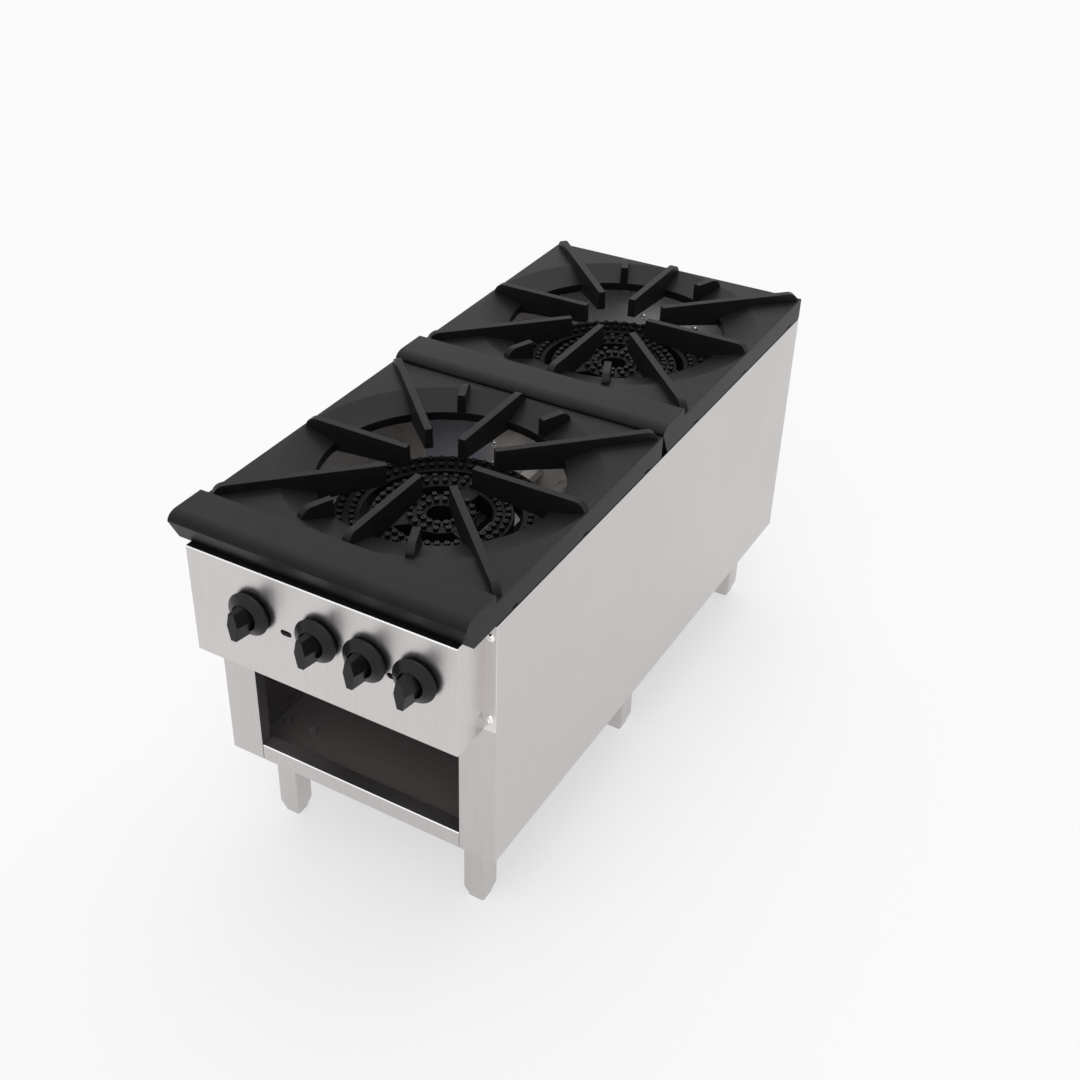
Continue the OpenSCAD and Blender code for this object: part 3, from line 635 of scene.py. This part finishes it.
def finger(name, inner, outer, tip_depth, depth):
    bar = block(name, (inner, -finger_w / 2, -depth), (outer, finger_w / 2, finger_rise))
    roll = finger_rise + cast_t / 2
    shaping(bar)
    for x in (opening_r + 0.0015, opening_r + cast_t / 2, outer - roll):
        if inner + 0.001 < x < outer - 0.001:
            bpy.ops.mesh.select_all(action="SELECT")
            bpy.ops.mesh.bisect(plane_co=(x, 0, 0), plane_no=(1, 0, 0))
    if tip_depth < finger_rise + depth:
        pick("VERT", lambda c, n: near(c.x, inner) and c.z < 0)
        bpy.ops.transform.translate(value=(0, 0, finger_rise - tip_depth + depth))
    pick("VERT", lambda c, n: c.x > outer - roll - hair / 2 and c.z < 0)
    bpy.ops.transform.translate(value=(0, 0, -cast_t / 2 + depth))
    pick("VERT", lambda c, n: c.z < -0.002)
    bpy.ops.transform.resize(value=(1, draft, 1), center_override=(0, 0, 0))
    pick("EDGE", lambda c, d: near(c.x, outer) and near(c.z, finger_rise))
    bpy.ops.mesh.bevel(offset=roll - 0.0003, segments=9, profile=0.5)
    shaped()
    return rounded(bar, 0.0014, 2, over=40)


corner_out, side_out = half_w * sqrt(2) - 0.009, half_w - 0.0015
long_finger = finger("corner_finger", 0.077, corner_out, tip_h, root_depth)
side_finger = finger("side_finger", 0.054, side_out, tip_h, root_depth)
short_finger = finger(
    "short_finger", opening_r + 0.00075, dish_r, finger_rise + short_depth, short_depth
)
print("finger faces", [len(f.data.polygons) for f in (long_finger, side_finger, short_finger)])

# %% [markdown]
# The twelve fingers are copies of three, turned about the burner's centre. Six small pads under
# the flange hold the casting off the cabinet. Then all is joined to one piece, because it is one
# casting, and the rear grate is a copy of the front one.

# %% Both grates
pad_half, pad_down, pad_up, pad_shares = 0.008, 0.0025, 0.004, (0.1, 0.5, 0.9)
castings = [plate]
for k in range(4):
    castings.append(copied(side_finger, "f", turn=k * pi / 2))
    castings.append(copied(long_finger, "f", turn=pi / 4 + k * pi / 2))
for angle in (67.5, 112.5, 247.5, 292.5):
    castings.append(copied(short_finger, "f", turn=radians(angle)))
for side in (-1, 1):
    for share in pad_shares:
        y = y_plate + share * (y_edge - y_plate)
        x = side * (half_w - cast_t / 2)
        low = (x - cast_t / 2, y - pad_half, -flange_h - pad_down)
        high = (x + cast_t / 2, y + pad_half, -flange_h + pad_up)
        castings.append(rounded(block("pad", low, high), 0.0008))
for spare in (long_finger, side_finger, short_finger):
    bpy.data.objects.remove(spare)
grate = joined("front_grate_casting", castings)
y_front_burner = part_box("front_grate")[1].y - y_edge
y_rear_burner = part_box("rear_grate")[1].y - y_edge
rear_grate = copied(grate, "rear_grate_casting", move=(0, y_rear_burner, z_rim))
grate.data.transform(Matrix.Translation((0, y_front_burner, z_rim)))
for piece, node in ((grate, "front_grate"), (rear_grate, "rear_grate")):
    dressed(piece, "cast_iron")
    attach(piece, node)
    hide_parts(node)
print("grates", len(grate.data.polygons), "faces each")

# %% [markdown]
# ## Burners
# Each burner has an outer ring and a centre casting whose two rings are joined by arms. Gas
# leaves through small raised ports with a drilled hole. A ring is turned from its half section.
# One port is modelled from a short bar, with its top inset twice and pushed in for the hole,
# and its hidden underside deleted. Its rim gets a brighter, glossier coat, a painted highlight.

# %% Rings and ports
ring_h, ring_edge, ring_draft = 0.030, 0.0016, 0.001
nub_r, nub_h, nub_foot, nub_edge, nub_rim = 0.004, 0.006, 0.001, 0.0006, 0.0008
bore_r, bore_lip, bore_depth = 0.0016, 0.0003, 0.0045


def port_ring(name, r_in, r_out):
    e, arc = ring_edge, ring_edge * 0.3
    ring = turned(name, [
        (r_in + ring_draft, -ring_h), (r_out - ring_draft, -ring_h), (r_out, -e),
        (r_out - arc, -arc), (r_out - e, 0), (r_in + e, 0), (r_in + arc, -arc), (r_in, -e),
    ], steps=120)
    ring.data.materials.append(burner_iron)
    return smoothed(ring, 50)


def port():
    middle = (0, 0, nub_h / 2 - nub_foot / 2)
    nub = round_bar("port", middle, nub_r, nub_h + nub_foot, sides=14)
    shaping(nub)
    pick("FACE", lambda c, n: n.z > 0.9)
    bpy.ops.mesh.bevel(offset=nub_edge, segments=1)
    pick("FACE", lambda c, n: n.z > 0.9)
    bpy.ops.mesh.inset(thickness=nub_r - nub_edge - bore_r - bore_lip)
    bpy.ops.mesh.inset(thickness=bore_lip, depth=-bore_lip)
    pulled(0, 0, -bore_depth)
    pick("FACE", lambda c, n: n.z < -0.9)
    bpy.ops.mesh.delete(type="FACE")
    shaped()
    for m in (burner_iron, port_iron):
        nub.data.materials.append(m)
    # The faces near the top take the painted highlight coat.
    for face in nub.data.polygons:
        face.material_index = int(face.center.z > nub_h - nub_rim)
    bench(nub)
    bpy.ops.object.shade_smooth_by_angle(angle=radians(35))
    return nub


nub = port()
print("one port", len(nub.data.polygons), "faces")

# %% [markdown]
# The ports stand in pairs round each ring: two rows with the same number of ports, so that each
# pair points to the centre. The table gives, for each ring, the radii of the two rows, the
# ports in a row as counted in the photograph, and by how much of a step the first pair is
# turned. The middle and inner rings and three broad arms between them make the centre casting.
# Its arms stand at uneven angles, as in the photograph.

# %% Burner castings
rings = {"outer": (0.1145, 0.1555), "middle": (0.073, 0.1035), "inner": (0.0205, 0.0505)}
port_rows = {
    "outer": (0.1264, 0.1440, 56, 0.0), "middle": (0.0822, 0.0947, 38, 0.5),
    "inner": (0.0308, 0.0450, 16, 0.0),
}
arm_half, arm_drop, arm_lap, arm_turns = 0.016, 0.0012, 0.003, (87, -137, -22)


def burner_ring(name, which):
    """A ring with its two rows of ports joined to it."""
    first_row, second_row, count, start = port_rows[which]
    turns = [2 * pi * (i + start) / count for i in range(count)]
    nubs = [
        copied(nub, "n", move=(r * cos(a), r * sin(a), 0))
        for r in (first_row, second_row) for a in turns
    ]
    return joined(name, [port_ring(name, *rings[which]), *nubs])


def arm(turn):
    low = (rings["inner"][1] - arm_lap, -arm_half, -ring_h)
    bar = block("arm", low, (rings["middle"][0] + arm_lap, arm_half, -arm_drop))
    bar.data.materials.append(burner_iron)
    rounded(bar, 0.0015)
    bar.data.transform(Matrix.Rotation(radians(turn), 4, "Z"))
    return bar


outer = burner_ring("front_outer_burner", "outer")
middle, inner = burner_ring("middle_ring", "middle"), burner_ring("inner_ring", "inner")
bpy.data.objects.remove(nub)
centre = joined("front_centre_burner", [middle, inner, *(arm(turn) for turn in arm_turns)])
z_ring_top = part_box("front_outer_ring")[1].z - nub_h
outer_rear = copied(outer, "rear_outer_burner", move=(0, y_rear_burner, z_ring_top))
centre_rear = copied(centre, "rear_centre_burner", move=(0, y_rear_burner, z_ring_top))
for piece in (outer, centre):
    piece.data.transform(Matrix.Translation((0, y_front_burner, z_ring_top)))
for piece, node in (
    (outer, "front_outer_ring"), (centre, "front_centre_rings"),
    (outer_rear, "rear_outer_ring"), (centre_rear, "rear_centre_rings"),
):
    dressed(piece, "burner_iron")
    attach(piece, "range")
    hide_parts(node)
print("pairs of ports", {which: row[2] for which, row in port_rows.items()})
print("faces", len(outer.data.polygons), len(centre.data.polygons))

# %% [markdown]
# ## Knobs
# A knob is moulded in one piece. Its skirt rises in a cone to a round rim, and the middle is
# sunk like a crater. The skirt is turned from a half section, with its back a little off the
# panel, a thin outer rim, and a rounded crest round the crater.

# %% The knob's skirt
skirt_r, skirt_gap, skirt_t = 0.0325, 0.0015, 0.0100
crater_r, crater_top, crater_floor = 0.0190, 0.0190, 0.0095


def skirt():
    r, c = skirt_r, crater_r
    back_wall = [
        (0.0, skirt_gap), (r - 0.0022, skirt_gap), (r - 0.0017, skirt_gap + 0.0006),
        (r - 0.0012, skirt_gap + 0.0040), (r - 0.0008, skirt_t - 0.0026),
    ]
    thin_rim = [
        (r - 0.0002, skirt_t - 0.0019), (r, skirt_t - 0.0012), (r - 0.0002, skirt_t - 0.0004),
        (r - 0.0009, skirt_t + 0.0003), (r - 0.0022, skirt_t + 0.001),
    ]
    crest = [
        (c + 0.0014, crater_top - 0.0007), (c + 0.0006, crater_top - 0.0001),
        (c - 0.0001, crater_top - 0.0002), (c - 0.0006, crater_top - 0.0008),
    ]
    crater = [
        (c - 0.0016, crater_floor + 0.0022), (c - 0.0022, crater_floor + 0.0008),
        (c - 0.0036, crater_floor), (0.0, crater_floor),
    ]
    section = back_wall + thin_rim + crest + crater
    return turned("skirt", section, steps=72, turn=(pi / 2, 0, 0))


print("skirt", round(skirt_r * 2000), "mm across")

# %% [markdown]
# A lever stands across the crater and ends in a flat six-sided face. It starts as a block that
# is cut across at its widest level, so that each end has six points. They are then drawn in at
# the front and spread at the root, each level by its own half width and height.

# %% The knob's lever
reach, blank_half, blank_rise = 0.042, 0.01, 0.02
front_hexagon = ((1, 0.0044, 0.0205), (0, 0.0087, 0.0005), (-1, 0.0044, -0.0225))
root_hexagon = ((1, 0.0052, 0.0193), (0, 0.0160, 0.0), (-1, 0.0066, -0.0262))


def lever():
    root = -crater_floor + 0.001
    bar = block("lever", (-blank_half, -reach, -blank_rise), (blank_half, root, blank_rise))
    shaping(bar)
    bpy.ops.mesh.select_all(action="SELECT")
    bpy.ops.mesh.bisect(plane_co=(0, 0, 0), plane_no=(0, 0, 1))
    for y, hexagon in ((-reach, front_hexagon), (root, root_hexagon)):
        for level, half, z in hexagon:
            pick("VERT", lambda c, n: near(c.y, y) and near(c.z, level * blank_rise))
            bpy.ops.transform.resize(value=(half / blank_half, 1, 1), center_override=(0, 0, 0))
            bpy.ops.transform.translate(value=(0, 0, z - level * blank_rise))
    shaped()
    return rounded(bar, 0.00045, over=12)


print("lever reaches", reach * 1000, "mm out of the panel")

# %% [markdown]
# The skirt's back wall lies in the shade of the disc, and a near-black matt coat paints that
# shade on it. All that lies nearer to the panel than the thin rim, and further out than the
# crater, counts as back wall.
# The knob is made once and copied to the four valve stems, and each copy turns with its joint.

# %% Four knobs
shaded_h, crest_w, stem_r = skirt_t - 0.0021, 0.002, 0.004


def knob():
    disc = skirt()
    # The back wall's faces take the painted-shade coat.
    for coat in (knob_black, knob_shade):
        disc.data.materials.append(coat)
    for face in disc.data.polygons:
        c = face.center
        face.material_index = int(-c.y < shaded_h and hypot(c.x, c.z) > crater_r + crest_w)
    bar = lever()
    bar.data.materials.append(knob_black)
    return joined("knob", [smoothed(disc, 40), bar])


first_knob, knob_x = knob(), []
for i in range(1, 5):
    low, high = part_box(f"knob_{i}")
    knob_x.append((low.x + high.x) / 2)
    at = (knob_x[-1], y_panel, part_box(f"valve_stem_{i}")[0].z + stem_r)
    k = dressed(copied(first_knob, f"lever_knob_{i}", move=at), "knob_plastic")
    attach(k, f"knob_{i}")
    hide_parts(f"knob_{i}")
bpy.data.objects.remove(first_knob)
print("knobs at", [round(x, 4) for x in knob_x])

# %% [markdown]
# ## Folded sheet
# The cabinet is folded from sheet, and a fold always leaves a small radius. The solids already
# have the right folds, so their look-alikes only get that radius and the brushed finish. The
# long level folds at the top of the box and of the bottom rail get a near-white coat, a painted
# highlight line, while the upright corners stay tight and plain. The outer skin is brushed
# bright. The inner sheet is darkened to a painted shade in the closed compartment and lightened
# to a painted light round the burners.

# %% Cabinet sheets
own_finish, bright = 0, 1
wide_fold, tight_fold = 0.0018, 0.0006
box_end, x_skin = 0.21065, shell[1].x
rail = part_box("front_bottom_rail")[1]


# A level fold takes the coat that paints a highlight line along it.
def level_fold(y, z):
    def test(c, d):
        return near(c.y, y) and near(c.z, z) and abs(d.x) > 0.9
    return [(wide_fold, bright, test)]


def upright_fold(y, on_corner):
    def test(c, d):
        return near(c.y, y) and on_corner(abs(c.x)) and abs(d.z) > 0.9
    return [(tight_fold, own_finish, test)]


skin_corner = upright_fold(y_face, lambda x: x > x_skin - hair)
bends = {
    "control_box":
        level_fold(y_panel, box_high.z) + upright_fold(y_panel, lambda x: near(x, box_end)),
    "front_bottom_rail": level_fold(y_face, rail.z),
    "right_side_panel": skin_corner,
    "left_side_panel": skin_corner,
}
# Painted light on the control box and on the liners, rails and partition round the burners.
special_finish = {
    "control_box": box_lightened_steel, "bay_partition": blue_sheet, "rear_liner": lit_rear_sheet,
    "left_liner": lit_liner_sheet, "right_liner": lit_liner_sheet,
    "left_burner_rail": rail_dark_under_burners, "right_burner_rail": rail_dark_under_burners,
}
sheets = {
    "stainless": (
        "left_side_panel", "right_side_panel", "back_panel", "front_bottom_rail",
        "front_upper_rail", "control_box", "drip_tray",
    ),
    "inner_sheet": (
        "cabinet_floor", "heat_shield", "bay_partition", "rear_liner", "left_liner",
        "right_liner", "left_burner_rail", "right_burner_rail", "left_tray_runner",
        "right_tray_runner",
    ),
}
looks = {}
for slot, names in sheets.items():
    for node in names:
        piece = softened(node, bends=bends.get(node, ()))
        looks[node] = dressed(piece, slot, special_finish.get(node))
print("folded pieces", len(looks))

# %% [markdown]
# Some faces of a sheet look different from the rest. The box's flanges are painted lighter, a
# painted light for their dim corner, and the upper faces close under the grates and the nose
# are painted near black, a painted shade. A second finish is laid on the faces that pass a
# test. Last, the bottom rail is made a little shorter at both ends, so that a fine dark seam
# shows between it and the stiles.

# %% Second finishes and the rail's seams
seam, rail_end = 0.0008, 0.002


def coated(piece, coat, test):
    piece.data.materials.append(coat)
    for face in piece.data.polygons:
        if face.material_index == own_finish and test(face.center, face.normal):
            face.material_index = len(piece.data.materials) - 1


def on_top(z):
    return lambda c, n: n.z > 0.9 and near(c.z, z)


box_look = looks["control_box"]
# Painted light on the box's flanges, painted shade on its top lip under the nose.
coated(box_look, flange_lightened_steel, lambda c, n: abs(c.x) > box_end + 0.0003 and c.y < y_face)
coated(box_look, shade_black, on_top(box_high.z))
# Painted shade on the top folds of the side panels, under the grates.
for node in ("left_side_panel", "right_side_panel"):
    coated(looks[node], shade_black, on_top(z_top))
for v in looks["front_bottom_rail"].data.vertices:
    if abs(v.co.x) > rail.x - rail_end:
        v.co.x -= seam if v.co.x > 0 else -seam
print("seams", seam * 1000, "mm wide")

# %% [markdown]
# ## Legs and feet
# A leg is square tube, bent from sheet, so its outer corners are round and the inner ones
# follow with a smaller radius. The upright edges are found by their distance from the middle
# of a leg, which stands over its foot. The foot's pad has rounded upright edges too.

# %% Legs and feet
foot_boxes = [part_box(n) for n in nodes if n.startswith("foot_")]
leg_places = [((b[0] + b[1]) / 2) for b in foot_boxes]
leg_half, leg_sheet, edge_width = 0.018, 0.002, 0.0008


def tube_corner(radius, half):
    """The upright edges that stand half away from a leg's middle both ways."""
    def test(c, d):
        return abs(d.z) > 0.99 and any(
            near(abs(c.x - p.x), half) and near(abs(c.y - p.y), half) for p in leg_places
        )
    return (radius, own_finish, test)


tube_bends = [tube_corner(0.0030, leg_half), tube_corner(0.0015, leg_half - leg_sheet)]
foot_bends = [(0.0030, own_finish, lambda c, d: abs(d.z) > 0.5)]
for node in ("legs_left", "legs_right"):
    looks[node] = dressed(softened(node, edge_width, node + "_tubes", tube_bends), "stainless")
for node in nodes:
    if node.startswith("foot_"):
        looks[node] = dressed(softened(node, edge_width, node + "_pad", foot_bends), "stainless")
print("legs", len(leg_places), "look-alikes so far", len(looks))

# %% [markdown]
# ## Screws
# The screws that show have a low domed head with a cross recess and catch the light as small
# bright points. One head is turned, its recess is cut with two small blocks, and it is copied
# to the flanges of the box and to the sheets between and behind the burners.

# %% Dome-headed screws
head_r, head_in = 0.0062, 0.0022
slot_half, slot_reach, slot_floor = 0.0007, 0.0030, 0.0016
flange_x, flange_end, liner_x, liner_drop = 0.219625, 0.020, 0.050, 0.0965
y_partition_face, y_liner_face = 0.00745, 0.5297


def dome_screw():
    r = head_r
    head = turned("dome_screw", [
        (0.0, -0.0004), (r, -0.0004), (r, 0.0005), (r * 0.95, 0.0012), (r * 0.8, 0.0021),
        (r * 0.55, 0.0028), (r * 0.28, 0.0032), (0.0, 0.0033),
    ], steps=32)
    for x, y in ((slot_reach, slot_half), (slot_half, slot_reach)):
        cut(head, block("recess", (-x, -y, slot_floor), (x, y, 0.006)))
    head.data.transform(Matrix.Rotation(pi / 2, 4, "X"))
    head.data.materials.append(screw_steel)
    return smoothed(head, 30)


first_screw = dome_screw()
y_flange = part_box("shell_screws")[0].y + head_in
flange_heights = (z_box + flange_end, z_top - flange_end)
liner_faces = (y_partition_face, y_liner_face)
screw_places = [(s * flange_x, y_flange, z) for s in (-1, 1) for z in flange_heights]
screw_places += [(s * liner_x, y, z_rim - liner_drop) for s in (-1, 1) for y in liner_faces]
screws = joined("dome_screws", [copied(first_screw, "s", move=p) for p in screw_places])
bpy.data.objects.remove(first_screw)
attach(screws, "range")
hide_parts("shell_screws")
print("screws", len(screw_places))

# %% [markdown]
# ## Solids that stay
# Pipes, valves, hoods, pilots, mixer tubes and bolts are turned or bent shapes that the solids
# already show well, and they sit deep inside. They are kept and only get their finish.

# %% The gas train and the bolts
mixers = ("front_outer_mixer", "front_centre_mixer", "rear_centre_mixer", "rear_outer_mixer")
kept = {
    "gas_manifold": "pipe", "gas_supply_pipe": "pipe", "orifice_hoods": "brass",
    "pilot_valves": "brass", "front_pilot": "brass", "rear_pilot": "brass",
    "leg_bolts": "stainless",
}
for i in range(1, 5):
    kept[f"gas_valve_{i}"] = "brass"
    kept[f"valve_stem_{i}"] = "brass"
    kept[f"air_shutter_{i}"] = "stainless"
# The mixer tubes are darkened where they lie under the burners.
for node in mixers:
    kept[node] = "burner_iron"
    special_finish[node] = tube_dark_under_burners
special_finish["leg_bolts"] = dull_zinc
for node, slot in kept.items():
    nodes[node].data.materials.clear()
    nodes[node].data.materials.append(special_finish.get(node, finish_of[slot]))
print("kept solids", len(kept), "look-alikes", len(looks))

# %% [markdown]
# ## Room, light and camera
# A wide pale floor and a soft white surround stand for a photo studio. To the camera, and in
# what metal mirrors, the floor glows nearly as white as the background, but it gives no more
# light to the object and keeps the object's shadow. Light Path tells the kinds of ray apart.

# %% Floor
floor_size, floor_drop, floor_glow = 60, 0.0005, 0.6
bpy.ops.object.select_all(action="DESELECT")
bpy.ops.mesh.primitive_plane_add(size=floor_size, location=(0, 0, -floor_drop))
floor = settled("floor")


def seen_ray(tree):
    """1 for the rays that only look: camera, glossy and transmission."""
    path = tree.nodes.new("ShaderNodeLightPath")
    value = path.outputs["Is Camera Ray"]
    for kind in ("Is Glossy Ray", "Is Transmission Ray"):
        value = combined(tree, "MAXIMUM", value, path.outputs[kind])
    return value


def pale_floor():
    m, tree, shader = finish("pale_floor", (0.93, 0.93, 0.93), 0.9)
    shader.inputs["Specular IOR Level"].default_value = 0.1
    cloudy = evened(tree, noise(tree, place_on(tree), 0.5), 0.86, 0.94)
    tree.links.new(cloudy, shader.inputs["Roughness"])
    glow = tree.nodes.new("ShaderNodeEmission")
    mix = tree.nodes.new("ShaderNodeMixShader")
    tree.links.new(spread(tree, seen_ray(tree), 0, 1, 0, floor_glow), mix.inputs["Fac"])
    tree.links.new(shader.outputs["BSDF"], mix.inputs[1])
    tree.links.new(glow.outputs["Emission"], mix.inputs[2])
    tree.links.new(mix.outputs["Shader"], tree.nodes["Material Output"].inputs["Surface"])
    return m


floor.data.materials.append(pale_floor())
floor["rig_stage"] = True
print("floor", floor_size, "m across")

# %% [markdown]
# The world is white where it is looked at and dimmer as a light, so that pale metal doesn't
# clip. Two very wide suns, a stronger one from the rear and one from the front, give the level
# surfaces their light and leave only a soft shadow under the range.

# %% Light
world_light, world_seen = 0.42, 1.0
world = bpy.data.worlds.new("studio")
bpy.context.scene.world = world
world.use_nodes = True
back = world.node_tree.nodes["Background"]
back.inputs["Color"].default_value = (1, 1, 1, 1)
strength = spread(world.node_tree, seen_ray(world.node_tree), 0, 1, world_light, world_seen)
world.node_tree.links.new(strength, back.inputs["Strength"])


def sun(name, towards, strength, width):
    data = bpy.data.lights.new(name, "SUN")
    data.energy, data.angle = strength, radians(width)
    lamp = bpy.data.objects.new(name, data)
    lamp.rotation_euler = Vector(towards).to_track_quat("-Z", "Y").to_euler()
    bpy.context.scene.collection.objects.link(lamp)
    return lamp


lamps = [
    sun("rear_light", (0.15, -0.35, -1), 1.05, 70), sun("front_light", (-0.1, 0.6, -1), 0.85, 50)
]
print("lamps", len(lamps))

# %% [markdown]
# The camera's place, direction and lens were found by matching corners of the cabinet, the
# grates and the box with the photograph. The picture's centre of perspective isn't its middle,
# which the small shift makes up for. Its axes are built from the angle round the range, the
# angle above it and a slight roll.

# %% Camera
azimuth, elevation, roll = radians(32.795), radians(35.135), radians(-0.743)
camera_place = (0.9346, -1.6681, 1.6436)
image, focal, centre_x, centre_y, film = 1080, 1460.4, 443.2, 562.9, 36

across = Vector((cos(azimuth), sin(azimuth), 0))
backwards = Vector((
    sin(azimuth) * cos(elevation), -cos(azimuth) * cos(elevation), sin(elevation)
))
up = backwards.cross(across)
axis_x = cos(roll) * across + sin(roll) * up
axis_y = -sin(roll) * across + cos(roll) * up
stand = Matrix((axis_x, axis_y, backwards)).transposed().to_4x4()
stand.translation = camera_place

lens = bpy.data.cameras.new("camera")
lens.sensor_fit = "HORIZONTAL"
lens.sensor_width = film
lens.lens = focal / image * film
lens.shift_x = (image / 2 - centre_x) / image
lens.shift_y = (centre_y - image / 2) / image
lens.clip_end = 100
camera = bpy.data.objects.new("camera", lens)
bpy.context.scene.collection.objects.link(camera)
camera.matrix_world = stand
bpy.context.scene.camera = camera
bpy.context.scene.view_settings.view_transform = "Standard"
print("lens", round(lens.lens, 2), "shift", round(lens.shift_x, 4), round(lens.shift_y, 4))

# %% [markdown]
# ## Sizes and the end
# The looks must fill the same box as the solids. The solids' box is printed at the start, and
# the last line prints the looks' box beside it.

# %% Sizes and the end
low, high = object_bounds()
print("looks box", [round(v, 4) for v in low], [round(v, 4) for v in high])
